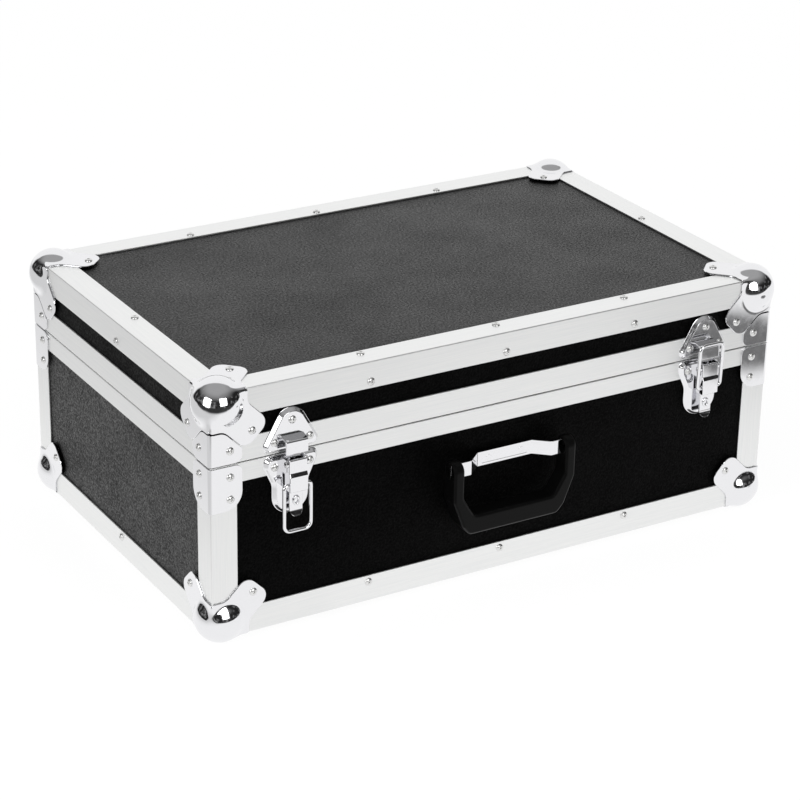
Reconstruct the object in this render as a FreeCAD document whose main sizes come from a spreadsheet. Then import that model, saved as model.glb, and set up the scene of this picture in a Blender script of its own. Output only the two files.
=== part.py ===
"""A guitar pedal case: a plywood tray and a hinged lid, edged with aluminium extrusions.

Steel ball corners and braces tie the edges together, two toggle latches and a strap
handle sit on the front, two hinges sit on the back, and foam lines the inside.
Row frame in millimetres: +X to the right along the front, +Y to the back, +Z up,
with the origin at the middle of the underside of the whole object's box.
"""

import FreeCAD
import Part
import math
import os
import Sketcher
from FreeCAD import Placement, Rotation, Vector

# Every size that can be set by itself, in millimetres and degrees
SIZES = {
    # The case over its extrusions, and where it parts
    "case_length": 510,
    "case_depth": 320,
    "seam_height": 143.5,
    "lid_height": 58.5,
    "seam_gap": 0.5,
    # Plywood panels and angle extrusions
    "panel_thickness": 7,
    "angle_wall": 1.5,
    "angle_flange": 22,
    "angle_round": 2,
    # The closing profiles round the seam
    "base_rim_height": 16,
    "lid_rim_height": 19.7,
    "rim_lip_height": 11,
    "tongue_inset": 4,
    "tongue_width": 2,
    "tongue_height": 4,
    "tongue_room": 1,
    # Ball corners
    "ball_radius": 20,
    "ball_inset": 12.5,
    "corner_sheet": 1.2,
    "corner_cutback": 7,
    "panel_cutback": 3,
    "corner_reach": 31,
    "lobe_reach": 55.3,
    "lobe_half_width": 14,
    "lobe_round": 9,
    "lobe_hollow_round": 10,
    "lobe_rivet_reach": 48.5,
    # Corner braces beside the seam
    "brace_leg": 26,
    "brace_height": 36.5,
    "brace_gap": 0.8,
    "brace_round": 6,
    "brace_foot_round": 15,
    "brace_sheet": 1.2,
    "brace_rivet_inset": 16,
    "brace_upper_rivet": 9,
    "brace_lower_rivet": 27,
    "lid_brace_rivet": 10.7,
    # Pop rivets
    "rivet_radius": 3.2,
    "rivet_head": 1.5,
    "rivet_bore": 0.95,
    "rivet_bore_depth": 1,
    "rivet_inset": 135,
    "rivet_edge": 16.5,
    # Foam lining
    "foam_wall": 10,
    "foam_floor": 10,
    "foam_lid_room": 13.75,
    "foam_fit": 0.3,
    # Hinges
    "hinge_inset": 105,
    "hinge_length": 60,
    "hinge_leaf": 1.5,
    "hinge_leaf_height": 15,
    "knuckle_radius": 3,
    "knuckle_standoff": 3.2,
    "knuckle_length": 20,
    "knuckle_gap": 0.2,
    "knuckle_notch": 3.5,
    "hinge_pin_radius": 1.5,
    "hinge_rivet_pitch": 22,
    "hinge_rivet_drop": 9,
    "pin_play": 0.06,
    # Toggle latches: the places down from the seam are positive, up from it negative
    "latch_inset": 66.5,
    "plate_sheet": 1.2,
    "plate_dish": 3.2,
    "plate_slope": 42,
    "catch_tip_half_width": 7.7,
    "catch_foot_half_width": 26.8,
    "catch_top": 36,
    "catch_foot": 2,
    "catch_tip_round": 8,
    "catch_foot_round": 5.5,
    "catch_tip_rivet": 27,
    "catch_side_rivet": 11,
    "latch_rivet_half_pitch": 14.7,
    "hook_half_width": 9.3,
    "hook_standoff": 11.2,
    "hook_sheet": 1.5,
    "hook_root": 15.5,
    "hook_brow": 13.2,
    "hook_foot": 2.5,
    "keeper_top": 0.8,
    "keeper_shoulder": 9.5,
    "keeper_waist": 24.5,
    "keeper_foot": 50,
    "keeper_half_width": 22.5,
    "keeper_waist_half_width": 15.7,
    "keeper_top_round": 5,
    "keeper_shoulder_round": 8,
    "keeper_waist_round": 12,
    "keeper_foot_round": 15.5,
    "keeper_rivet": 9,
    "lever_pivot_drop": 5,
    "lever_pivot_standoff": 9,
    "lever_pin_radius": 1.6,
    "ear_radius": 3.4,
    "ear_sheet": 1.4,
    "ear_gap": 0.2,
    "ear_foot": 13,
    "lever_half_width": 7.6,
    "lever_sheet": 1.2,
    "lever_top": 1.5,
    "lever_face_standoff": 13,
    "lever_step_top": 12.2,
    "lever_step_foot": 15.1,
    "lever_step": 1.3,
    "lever_box_foot": 27.6,
    "lever_wall_back": 5,
    "lever_nose_radius": 4.3,
    "tongue_tab_half_width": 5.5,
    "tongue_tab_standoff": 9,
    "tongue_tab_bend": 44,
    "tongue_tab_foot": 49,
    "tongue_tab_lift": 2,
    "tongue_tab_round": 5,
    "staple_radius": 3,
    "staple_height": 1.6,
    "staple_bore": 1.3,
    "staple_drop": 36.5,
    "bail_pivot_drop": 22.2,
    "bail_pivot_standoff": 11.5,
    "bail_wire_radius": 1.5,
    "bail_half_width": 11.25,
    "bail_length": 38,
    "bail_end": 5,
    "bail_pivot_bend": 3,
    "bail_bend": 5,
    "bail_hook_gap": 0.35,
    # Strap handle on the front
    "handle_drop": 43,
    "strap_width": 12,
    "strap_thickness": 2.5,
    "strap_seat_half": 25,
    "strap_bridge_half": 37,
    "strap_standoff": 11.65,
    "strap_tongue": 9,
    "strap_play": 0.3,
    "strap_rivet_half_pitch": 15,
    "strap_rivet_radius": 2.4,
    "grip_mouth_half": 46.5,
    "grip_half_width": 56,
    "grip_eye_radius": 8.2,
    "grip_socket_radius": 6.35,
    "grip_side_drop": 24,
    "grip_knee_drop": 47,
    "grip_knee_half": 47,
    "grip_foot_half": 40.5,
    "grip_drop": 54.5,
    "grip_mouth_drop": 22,
    "grip_mouth_foot_half": 36.5,
    "grip_bar_drop": 38.5,
    "grip_corner_round": 6,
    # How far a cutting tool runs past what it cuts
    "overrun": 5,
}

doc = FreeCAD.newDocument("pedal_case")
sheet = doc.addObject("Spreadsheet::Sheet", "sizes")
for row, (alias, number) in enumerate(SIZES.items(), start=1):
    sheet.set(f"A{row}", alias.replace("_", " "))
    sheet.set(f"B{row}", str(number))
    sheet.setAlias(f"B{row}", alias)
doc.recompute()

# Places that several pieces share, written in the named sizes
FOOT = "(sizes.ball_radius - sizes.ball_inset)"
MIDDLE = "((sizes.strap_standoff + sizes.grip_eye_radius - sizes.ball_radius + sizes.ball_inset) / 2)"
LEFT = "(-sizes.case_length / 2)"
RIGHT = "(sizes.case_length / 2)"
FRONT = f"({MIDDLE} - sizes.case_depth / 2)"
BACK = f"({MIDDLE} + sizes.case_depth / 2)"
SEAM = f"({FOOT} + sizes.seam_height)"
TOP = f"({SEAM} + sizes.lid_height)"
BASE_TOP = f"({SEAM} - sizes.seam_gap / 2)"
LID_FOOT = f"({SEAM} + sizes.seam_gap / 2)"
LID_WEB = f"({LID_FOOT} + sizes.tongue_height + sizes.tongue_room)"
SKIN = "(sizes.angle_wall + sizes.panel_thickness)"
LIP = f"({SKIN} + sizes.angle_wall)"
LINED = f"({SKIN} + sizes.foam_wall)"

nodes = []
TURNS = {
    "+X": Rotation(Vector(0, 1, 0), 90),
    "-X": Rotation(Vector(0, 1, 0), -90),
    "+Y": Rotation(Vector(1, 0, 0), -90),
    "-Y": Rotation(Vector(1, 0, 0), 90),
    "+Z": Rotation(),
    "-Z": Rotation(Vector(1, 0, 0), 180),
}

def value(expression):
    """The number that an expression in the named sizes gives."""
    return float(sheet.evalExpression(str(expression)))


def node(name, piece):
    """Keep a finished piece under its own name."""
    piece.Label = name
    nodes.append(piece)
    return piece


def box(name, along_x, along_y, along_z):
    """A block between two places on each axis."""
    block = doc.addObject("Part::Box", name)
    spans = (("x", "Length", along_x), ("y", "Width", along_y), ("z", "Height", along_z))
    for axis, side, (low, high) in spans:
        block.setExpression(f"Placement.Base.{axis}", str(low))
        block.setExpression(side, f"({high}) - ({low})")
    return block


def rod(name, way, start, radius, length):
    """A round bar that leaves its start along one of the six ways."""
    bar = doc.addObject("Part::Cylinder", name)
    bar.Placement = Placement(Vector(), TURNS[way])
    for axis, place in zip("xyz", start):
        bar.setExpression(f"Placement.Base.{axis}", str(place))
    bar.setExpression("Radius", radius)
    bar.setExpression("Height", length)
    return bar


def fuse(name, pieces):
    """Several solids joined into one."""
    joined = doc.addObject("Part::MultiFuse", name)
    joined.Shapes = pieces
    joined.Refine = True
    return joined


def cut(name, base, tools):
    """A solid with one or more others taken out of it."""
    tool = tools[0] if len(tools) == 1 else fuse(f"{name}_tools", tools)
    remaining = doc.addObject("Part::Cut", name)
    remaining.Base = base
    remaining.Tool = tool
    remaining.Refine = True
    return remaining


def common(name, first, second):
    """What two solids share."""
    shared = doc.addObject("Part::Common", name)
    shared.Base = first
    shared.Tool = second
    shared.Refine = True
    return shared


def mirror(name, source, axis, place):
    """A piece reflected in a plane square to one axis."""
    reflection = doc.addObject("Part::Mirroring", name)
    reflection.Source = source
    reflection.Normal = Vector(*(1 if letter == axis else 0 for letter in "xyz"))
    reflection.setExpression(f"Base.{axis}", place)
    return reflection


def group(name, pieces):
    """Separate solids kept as one node."""
    gathered = doc.addObject("Part::Compound", name)
    gathered.Links = pieces
    return gathered


def trace(sketch, corners, rounds, closed=True):
    """Lines through corners given as pairs of expressions, some of them rounded, all constrained."""
    places = [Vector(value(across), value(along), 0) for across, along in corners]
    total = len(places)
    lines = total if closed else total - 1
    for index in range(lines):
        sketch.addGeometry(Part.LineSegment(places[index], places[(index + 1) % total]), False)
    for index in range(lines if closed else lines - 1):
        sketch.addConstraint(Sketcher.Constraint("Coincident", index, 2, (index + 1) % lines, 1))
    for index, (corner, place) in enumerate(zip(corners, places)):
        held_by = (index, 1) if index < lines else (index - 1, 2)
        for kind, expression, distance in zip(("DistanceX", "DistanceY"), corner, place):
            held = sketch.addConstraint(Sketcher.Constraint(kind, -1, 1, *held_by, distance))
            sketch.setExpression(f"Constraints[{held}]", str(expression))
    for index, radius in rounds:
        reach = value(radius) / 2
        before = places[index] + (places[index - 1] - places[index]).normalize() * reach
        after = places[index] + (places[(index + 1) % total] - places[index]).normalize() * reach
        arc = sketch.GeometryCount
        sketch.fillet((index - 1) % total, index, before, after, value(radius), True, True)
        held = sketch.addConstraint(Sketcher.Constraint("Radius", arc, value(radius)))
        sketch.setExpression(f"Constraints[{held}]", radius)


def sketch_on(body, name, plane, lift="0"):
    """An empty sketch on one of a body's own planes, or lifted off it."""
    sketch = body.newObject("Sketcher::SketchObject", name)
    face = next(feature for feature in body.Origin.OriginFeatures if feature.Role == plane)
    sketch.AttachmentSupport = [(face, "")]
    sketch.MapMode = "FlatFace"
    sketch.setExpression("AttachmentOffset.Base.z", lift)
    return sketch


def pad(name, plane, corners, length, lift="0", way="up", rounds=(), slope=None):
    """A body padded from an outline: up its plane's normal, down it, or half each way."""
    body = doc.addObject("PartDesign::Body", name)
    sketch = sketch_on(body, f"{name}_outline", plane, lift)
    trace(sketch, corners, rounds)
    solid = body.newObject("PartDesign::Pad", f"{name}_pad")
    solid.Profile = sketch
    solid.setExpression("Length", length)
    solid.Reversed = way == "down"
    solid.Midplane = way == "both"
    if slope:
        solid.setExpression("TaperAngle", slope)
    return body


# The four sides, and the wedge of the plan that belongs to each, for mitred ends
SIDES = ("front", "back", "left", "right")
RIDGE = "sizes.case_depth / 2"
WEDGES = {
    "front": [(LEFT, FRONT), (RIGHT, FRONT), (f"{RIGHT} - {RIDGE}", MIDDLE), (f"{LEFT} + {RIDGE}", MIDDLE)],
    "back": [(LEFT, BACK), (RIGHT, BACK), (f"{RIGHT} - {RIDGE}", MIDDLE), (f"{LEFT} + {RIDGE}", MIDDLE)],
    "left": [(LEFT, FRONT), (f"{LEFT} + {RIDGE}", MIDDLE), (LEFT, BACK)],
    "right": [(RIGHT, FRONT), (f"{RIGHT} - {RIDGE}", MIDDLE), (RIGHT, BACK)],
}
wedges = {side: pad(f"wedge_{side}", "XY_Plane", WEDGES[side], TOP) for side in SIDES}


def inward(side, depth):
    """The place of something that lies a depth inside one side's outer face."""
    return {
        "front": f"{FRONT} + {depth}",
        "back": f"{BACK} - ({depth})",
        "left": f"{LEFT} + {depth}",
        "right": f"{RIGHT} - ({depth})",
    }[side]


def mitred(name, side, profile, rounds=()):
    """One length of a profile along a side, its ends cut on the corners' diagonals."""
    plane = "YZ_Plane" if side in ("front", "back") else "XZ_Plane"
    corners = [(inward(side, depth), height) for depth, height in profile]
    length = pad(f"{name}_length", plane, corners, "2 * sizes.case_length", way="both", rounds=rounds)
    return common(f"{name}_mitred", length, wedges[side])


def corner_blocks(name, size, upright):
    """Four blocks over the case's corners, for cutting metal and wood back inside the ball corners."""
    blocks = []
    for end in ("front", "back"):
        for side in ("left", "right"):
            across = [inward(side, "(-sizes.overrun)"), inward(side, size)]
            along = [inward(end, "(-sizes.overrun)"), inward(end, size)]
            if side == "right":
                across.reverse()
            if end == "back":
                along.reverse()
            blocks.append(box(f"{name}_{end}_{side}", across, along, upright))
    return fuse(name, blocks)


UNDER = f"{FOOT} - sizes.overrun"
OVER = f"{TOP} + sizes.overrun"
low_cutback = corner_blocks("low_cutback", "sizes.corner_cutback", (UNDER, f"{FOOT} + sizes.corner_cutback"))
high_cutback = corner_blocks("high_cutback", "sizes.corner_cutback", (f"{TOP} - sizes.corner_cutback", OVER))


def angle(outer, inner_way):
    """An angle extrusion's section, from its outer corner towards the inside of the case."""
    flange = f"{outer} {inner_way} sizes.angle_flange"
    wall = f"{outer} {inner_way} sizes.angle_wall"
    return [
        ("0", outer),
        ("sizes.angle_flange", outer),
        ("sizes.angle_flange", wall),
        ("sizes.angle_wall", wall),
        ("sizes.angle_wall", flange),
        ("0", flange),
    ]


TONGUE_BACK = "(sizes.tongue_inset + sizes.tongue_width)"
BASE_RIM = [
    ("0", f"{SEAM} - sizes.base_rim_height"),
    ("0", BASE_TOP),
    ("sizes.tongue_inset", BASE_TOP),
    ("sizes.tongue_inset", f"{BASE_TOP} + sizes.tongue_height"),
    (TONGUE_BACK, f"{BASE_TOP} + sizes.tongue_height"),
    (TONGUE_BACK, BASE_TOP),
    (LIP, BASE_TOP),
    (LIP, f"{BASE_TOP} - sizes.rim_lip_height"),
    (SKIN, f"{BASE_TOP} - sizes.rim_lip_height"),
    (SKIN, f"{BASE_TOP} - sizes.angle_wall"),
    ("sizes.angle_wall", f"{BASE_TOP} - sizes.angle_wall"),
    ("sizes.angle_wall", f"{SEAM} - sizes.base_rim_height"),
]
LID_RIM = [
    ("0", LID_FOOT),
    ("0", f"{SEAM} + sizes.lid_rim_height"),
    ("sizes.angle_wall", f"{SEAM} + sizes.lid_rim_height"),
    ("sizes.angle_wall", f"{LID_WEB} + sizes.angle_wall"),
    (SKIN, f"{LID_WEB} + sizes.angle_wall"),
    (SKIN, f"{LID_FOOT} + sizes.rim_lip_height"),
    (LIP, f"{LID_FOOT} + sizes.rim_lip_height"),
    (LIP, LID_FOOT),
    (SKIN, LID_FOOT),
    (SKIN, LID_WEB),
    ("sizes.angle_wall", LID_WEB),
    ("sizes.angle_wall", LID_FOOT),
]

ARRIS = [(0, "sizes.angle_round")]
for side in SIDES:
    lower = mitred(f"bottom_edge_{side}", side, angle(FOOT, "+"), ARRIS)
    upper = mitred(f"lid_edge_{side}", side, angle(TOP, "-"), ARRIS)
    node(f"bottom_edge_{side}", cut(f"bottom_edge_cut_{side}", lower, [low_cutback]))
    node(f"lid_edge_{side}", cut(f"lid_edge_cut_{side}", upper, [high_cutback]))
    node(f"base_rim_{side}", mitred(f"base_rim_{side}", side, BASE_RIM))
    node(f"lid_rim_{side}", mitred(f"lid_rim_{side}", side, LID_RIM))

# Upright angle extrusions at the tray's four corners
POST_SPAN = (f"{FOOT} + sizes.angle_flange", f"{SEAM} - sizes.base_rim_height")
for end in ("front", "back"):
    for side in ("left", "right"):
        def place(depth_x, depth_y):
            return (inward(side, depth_x), inward(end, depth_y))

        section = [
            place("0", "0"),
            place("sizes.angle_flange", "0"),
            place("sizes.angle_flange", "sizes.angle_wall"),
            place("sizes.angle_wall", "sizes.angle_wall"),
            place("sizes.angle_wall", "sizes.angle_flange"),
            place("0", "sizes.angle_flange"),
        ]
        tall = f"({POST_SPAN[1]}) - ({POST_SPAN[0]})"
        post = pad(f"post_{end}_{side}", "XY_Plane", section, tall, lift=POST_SPAN[0], rounds=ARRIS)
        node(f"post_{end}_{side}", post)

# Plywood panels: floor and top run right across, the sides stand between them
ACROSS = (f"{LEFT} + sizes.angle_wall", f"{RIGHT} - sizes.angle_wall")
ALONG = (f"{FRONT} + sizes.angle_wall", f"{BACK} - sizes.angle_wall")
BETWEEN = (f"{FRONT} + {SKIN}", f"{BACK} - {SKIN}")
SLABS = {
    "front": (ACROSS, (f"{FRONT} + sizes.angle_wall", f"{FRONT} + {SKIN}")),
    "back": (ACROSS, (f"{BACK} - {SKIN}", f"{BACK} - sizes.angle_wall")),
    "left": ((f"{LEFT} + sizes.angle_wall", f"{LEFT} + {SKIN}"), BETWEEN),
    "right": ((f"{RIGHT} - {SKIN}", f"{RIGHT} - sizes.angle_wall"), BETWEEN),
}
for name, slab, span in (
    ("bottom_panel", (f"{FOOT} + sizes.angle_wall", f"{FOOT} + {SKIN}"), (UNDER, f"{FOOT} + sizes.panel_cutback")),
    ("lid_top_panel", (f"{TOP} - {SKIN}", f"{TOP} - sizes.angle_wall"), (f"{TOP} - sizes.panel_cutback", OVER)),
):
    clipped = corner_blocks(f"{name}_cutback", "sizes.panel_cutback", span)
    node(name, cut(f"{name}_clipped", box(f"{name}_slab", ACROSS, ALONG, slab), [clipped]))
STRAP_HEIGHT = f"({SEAM} - sizes.handle_drop)"
for side in SIDES:
    across, along = SLABS[side]
    tray_side = box(f"tray_{side}", across, along, (f"{FOOT} + {SKIN}", f"{BASE_TOP} - sizes.angle_wall"))
    if side == "front":
        holes = []
        for way, sign in (("left", "-"), ("right", "")):
            start = (f"{sign}sizes.strap_rivet_half_pitch", f"{FRONT} - sizes.overrun", STRAP_HEIGHT)
            radius = "sizes.strap_rivet_radius + sizes.pin_play"
            holes.append(rod(f"panel_hole_{way}", "+Y", start, radius, f"{SKIN} + 2 * sizes.overrun"))
        tray_side = cut("tray_front_drilled", tray_side, holes)
    node(f"{side}_panel", tray_side)
    lid_span = (f"{LID_WEB} + sizes.angle_wall", f"{TOP} - {SKIN}")
    node(f"lid_{side}_panel", box(f"lid_{side}", across, along, lid_span))

# Ball corners: three lobed plates and a hollow ball, pressed from one sheet
LOBE_FAR = "((sizes.lobe_reach + sizes.lobe_half_width) / sqrt(2))"
LOBE_NEAR = "((sizes.lobe_reach - sizes.lobe_half_width) / sqrt(2))"
HOLLOW = "(sizes.corner_reach - sqrt(2) * sizes.lobe_half_width)"

LOBE_ROUNDS = [(index, "sizes.lobe_round") for index in (3, 4)]
LOBE_ROUNDS += [(index, "sizes.lobe_hollow_round") for index in (2, 5)]


def lobed_plate(name, plane, first, second, lift, way):
    """One of a ball corner's three plates, on a face whose axes start at first and second."""
    def at(across, along):
        return (f"{first} + {across}", f"{second} + {along}")

    overhang = "(-sizes.corner_sheet)"
    reach = "sizes.corner_reach"
    corners = [
        at(overhang, overhang),
        at(reach, overhang),
        at(reach, HOLLOW),
        at(LOBE_FAR, LOBE_NEAR),
        at(LOBE_NEAR, LOBE_FAR),
        at(HOLLOW, reach),
        at(overhang, reach),
    ]
    return pad(name, plane, corners, "sizes.corner_sheet", lift=lift, way=way, rounds=LOBE_ROUNDS)


def ball(name, radius):
    """A ball whose middle lies inset from the case's three outer faces."""
    sphere = doc.addObject("Part::Sphere", name)
    for axis, face in zip("xyz", (LEFT, FRONT, FOOT)):
        sphere.setExpression(f"Placement.Base.{axis}", f"{face} + sizes.ball_inset")
    sphere.setExpression("Radius", radius)
    return sphere


def corner_block(name, start, stop):
    """A cube-like block set by its distances from the case's lower front left corner."""
    spans = [(f"{face} + {start}", f"{face} + {stop}") for face in (LEFT, FRONT, FOOT)]
    return box(name, *spans)


# The plates stop inside the ball, and the ball stays whole where it dips past the case's corner
plates = cut("corner_plates", fuse("corner_sheets", [
    lobed_plate("corner_front", "XZ_Plane", LEFT, FOOT, f"-{FRONT}", "up"),
    lobed_plate("corner_under", "XY_Plane", LEFT, FRONT, FOOT, "down"),
    lobed_plate("corner_side", "YZ_Plane", FRONT, FOOT, LEFT, "down"),
]), [corner_block("corner_notch", "(-sizes.overrun)", "sizes.ball_inset")])
inside = cut("corner_inside", corner_block("corner_octant", "0", "3 * sizes.ball_radius"),
             [corner_block("corner_tip", "(-sizes.overrun)", "sizes.corner_cutback")])
shell = cut("corner_shell", fuse("corner_pressing", [plates, ball("corner_ball", "sizes.ball_radius")]),
            [ball("corner_hollow", "sizes.ball_radius - sizes.corner_sheet"), inside])
corner = node("base_ball_front_left", shell)
corners = {("front", "left"): corner}
corners["front", "right"] = node("base_ball_front_right", mirror("ball_fr", corner, "x", "0"))
corners["back", "left"] = node("base_ball_back_left", mirror("ball_bl", corner, "y", MIDDLE))
corners["back", "right"] = node(
    "base_ball_back_right", mirror("ball_br", corners["front", "right"], "y", MIDDLE))
for (end, side), lower in corners.items():
    upper = mirror(f"ball_lid_{end}_{side}", lower, "z", f"({FOOT} + {TOP}) / 2")
    node(f"lid_ball_{end}_{side}", upper)


def four_corners(name, piece):
    """A piece and its three reflections at the other corners."""
    across = mirror(f"{name}_right", piece, "x", "0")
    return group(name, [
        piece,
        across,
        mirror(f"{name}_back_left", piece, "y", MIDDLE),
        mirror(f"{name}_back_right", across, "y", MIDDLE),
    ])


def brace_leg(name, plane, edge, lift, way, heights, rounds):
    """One leg of a corner brace: an outline of (distance from the corner, height) on one face."""
    corners = [(f"{edge} + {across}", height) for across, height in heights]
    return pad(name, plane, corners, "sizes.brace_sheet", lift=lift, way=way, rounds=rounds)


def brace(name, heights, rounds):
    """Both legs of a corner brace, folded round the upright edge."""
    return fuse(name, [
        brace_leg(f"{name}_front", "XZ_Plane", LEFT, f"-{FRONT}", "up", heights, rounds),
        brace_leg(f"{name}_side", "YZ_Plane", FRONT, LEFT, "down", heights, rounds),
    ])


FOLD = "(-sizes.brace_sheet)"
BRACE_TOP = f"({SEAM} - sizes.brace_gap)"
LID_BRACE_FOOT = f"({SEAM} + sizes.brace_gap)"
base_brace = brace("base_brace", [
    (FOLD, f"{BRACE_TOP} - sizes.brace_height"),
    ("sizes.brace_leg", f"{BRACE_TOP} - sizes.brace_height"),
    ("sizes.brace_leg", BRACE_TOP),
    (FOLD, BRACE_TOP),
], [(1, "sizes.brace_foot_round"), (2, "sizes.brace_round")])
node("base_braces", four_corners("base_braces", base_brace))

# The lid's braces stop short of the ball corners' lobes
LOBE_CLEAR = "(sizes.corner_reach + sizes.brace_gap)"
lid_brace = brace("lid_brace", [
    (FOLD, LID_BRACE_FOOT),
    ("sizes.brace_leg", LID_BRACE_FOOT),
    ("sizes.brace_leg", f"{TOP} - {LOBE_CLEAR} - sizes.brace_leg + {HOLLOW}"),
    (HOLLOW, f"{TOP} - {LOBE_CLEAR}"),
    (FOLD, f"{TOP} - {LOBE_CLEAR}"),
], [(1, "sizes.brace_round"), (3, "sizes.lobe_hollow_round - sizes.brace_gap")])
node("lid_braces", four_corners("lid_braces", lid_brace))

# Foam lining: a floor sheet between four wall strips, and a thick sheet under the lid's top
FOAM_TOP = f"{BASE_TOP} - sizes.rim_lip_height - sizes.foam_fit"
FOAM_FOOT = f"{FOOT} + {SKIN} + sizes.foam_fit"
NEAR = f"({SKIN} + sizes.foam_fit)"
FAR = f"({LINED} - sizes.foam_fit)"
foam_rise = (FOAM_FOOT, FOAM_TOP)
wall_foam = [
    box("foam_front", (f"{LEFT} + {NEAR}", f"{RIGHT} - {NEAR}"), (f"{FRONT} + {NEAR}", f"{FRONT} + {FAR}"),
        foam_rise),
    box("foam_back", (f"{LEFT} + {NEAR}", f"{RIGHT} - {NEAR}"), (f"{BACK} - {FAR}", f"{BACK} - {NEAR}"),
        foam_rise),
    box("foam_left", (f"{LEFT} + {NEAR}", f"{LEFT} + {FAR}"), (f"{FRONT} + {LINED}", f"{BACK} - {LINED}"),
        foam_rise),
    box("foam_right", (f"{RIGHT} - {FAR}", f"{RIGHT} - {NEAR}"), (f"{FRONT} + {LINED}", f"{BACK} - {LINED}"),
        foam_rise),
]
node("wall_foam", group("wall_foam", wall_foam))
FLOOR_TOP = f"({FOOT} + {SKIN} + sizes.foam_floor)"
node("floor_foam", box("floor_foam", (f"{LEFT} + {LINED}", f"{RIGHT} - {LINED}"),
                       (f"{FRONT} + {LINED}", f"{BACK} - {LINED}"), (FOAM_FOOT, FLOOR_TOP)))
LID_CEILING = f"({TOP} - {SKIN})"
node("lid_foam", box("lid_foam", (f"{LEFT} + {NEAR}", f"{RIGHT} - {NEAR}"),
                     (f"{FRONT} + {NEAR}", f"{BACK} - {NEAR}"),
                     (f"{LID_FOOT} + sizes.rim_lip_height + sizes.foam_lid_room",
                      f"{LID_CEILING} - sizes.foam_fit")))

# Hinges: the tray's leaf carries the outer knuckles and the pin, the lid's leaf the middle one
KNUCKLE_Y = f"({BACK} + sizes.knuckle_standoff)"
base_leaves = []
lid_leaves = []
hinge_pins = []
for side, sign in (("left", "-"), ("right", "")):
    middle = f"({sign}(sizes.case_length / 2 - sizes.hinge_inset))"
    ends = (f"{middle} - sizes.hinge_length / 2", f"{middle} + sizes.hinge_length / 2")
    inner = (f"{middle} - sizes.knuckle_length / 2", f"{middle} + sizes.knuckle_length / 2")
    gap = "sizes.knuckle_gap"
    room = (f"{inner[0]} - {gap}", f"{inner[1]} + {gap}")
    sheet_span = (BACK, f"{BACK} + sizes.hinge_leaf")

    def knuckle(name, low, high, radius):
        return rod(name, "+X", (low, KNUCKLE_Y, SEAM), radius, f"({high}) - ({low})")

    bore_radius = "sizes.hinge_pin_radius + sizes.pin_play"
    tray_leaf = cut(f"tray_leaf_plate_{side}", box(f"tray_leaf_{side}", ends, sheet_span,
                                                  (f"{SEAM} - sizes.hinge_leaf_height", SEAM)),
                    [box(f"tray_notch_{side}", room, (f"{BACK} - sizes.overrun", f"{BACK} + sizes.overrun"),
                         (f"{SEAM} - sizes.knuckle_notch", f"{SEAM} + sizes.overrun"))])
    tray_barrel = fuse(f"tray_barrel_{side}", [
        tray_leaf,
        knuckle(f"tray_knuckle_a_{side}", ends[0], room[0], "sizes.knuckle_radius"),
        knuckle(f"tray_knuckle_b_{side}", room[1], ends[1], "sizes.knuckle_radius"),
    ])
    base_leaves.append(cut(f"tray_leaf_bored_{side}", tray_barrel,
                           [knuckle(f"tray_bore_{side}", f"{ends[0]} - sizes.overrun",
                                    f"{ends[1]} + sizes.overrun", bore_radius)]))
    side_notches = []
    for hand, low, high in (("a", f"{ends[0]} - sizes.overrun", inner[0]),
                            ("b", inner[1], f"{ends[1]} + sizes.overrun")):
        side_notches.append(box(f"lid_notch_{hand}_{side}", (low, high),
                                (f"{BACK} - sizes.overrun", f"{BACK} + sizes.overrun"),
                                (f"{SEAM} - sizes.overrun", f"{SEAM} + sizes.knuckle_notch")))
    lid_leaf = cut(f"lid_leaf_plate_{side}", box(f"lid_leaf_{side}", ends, sheet_span,
                                                (SEAM, f"{SEAM} + sizes.hinge_leaf_height")), side_notches)
    lid_barrel = fuse(f"lid_barrel_{side}", [
        lid_leaf,
        knuckle(f"lid_knuckle_{side}", inner[0], inner[1], "sizes.knuckle_radius"),
    ])
    lid_leaves.append(cut(f"lid_leaf_bored_{side}", lid_barrel,
                          [knuckle(f"lid_bore_{side}", f"{ends[0]} - sizes.overrun",
                                   f"{ends[1]} + sizes.overrun", bore_radius)]))
    hinge_pins.append(knuckle(f"hinge_pin_{side}", ends[0], ends[1], "sizes.hinge_pin_radius"))
node("hinge_base_leaves", group("hinge_base_leaves", base_leaves))
node("hinge_lid_leaves", group("hinge_lid_leaves", lid_leaves))
node("hinge_pins", group("hinge_pins", hinge_pins))


def below(drop):
    """A height so far below the seam."""
    return f"({SEAM} - ({drop}))"


def above(rise):
    """A height so far above the seam."""
    return f"({SEAM} + ({rise}))"


def out(standoff):
    """A place so far in front of the case's front face."""
    return f"({FRONT} - ({standoff}))"


def dished(name, corners, rounds):
    """A plate pressed from sheet: a raised flat with sloping flanks, hollow behind."""
    whole = pad(f"{name}_press", "XZ_Plane", corners, "sizes.plate_dish", lift=f"-{FRONT}", rounds=rounds,
                slope="-sizes.plate_slope")
    behind = group(f"{name}_behind", [whole])
    behind.setExpression("Placement.Base.y", "sizes.plate_sheet")
    return cut(f"{name}_sheet", whole, [behind])


def side_profile(name, corners, half_width, middle):
    """A solid from a side view of (standoff, height) corners, as wide as the latch piece."""
    places = [(out(standoff), height) for standoff, height in corners]
    return pad(name, "YZ_Plane", places, f"2 * {half_width}", lift=middle, way="both")


PIVOT = (out("sizes.lever_pivot_standoff"), below("sizes.lever_pivot_drop"))
BAIL_PIVOT = (out("sizes.bail_pivot_standoff"), below("sizes.bail_pivot_drop"))
CAVITY = "(sizes.lever_face_standoff - sizes.lever_sheet)"
DEEP_FACE = "(sizes.lever_face_standoff + sizes.lever_step)"
TAB_BACK = "(sizes.tongue_tab_standoff - sizes.lever_sheet)"


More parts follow.
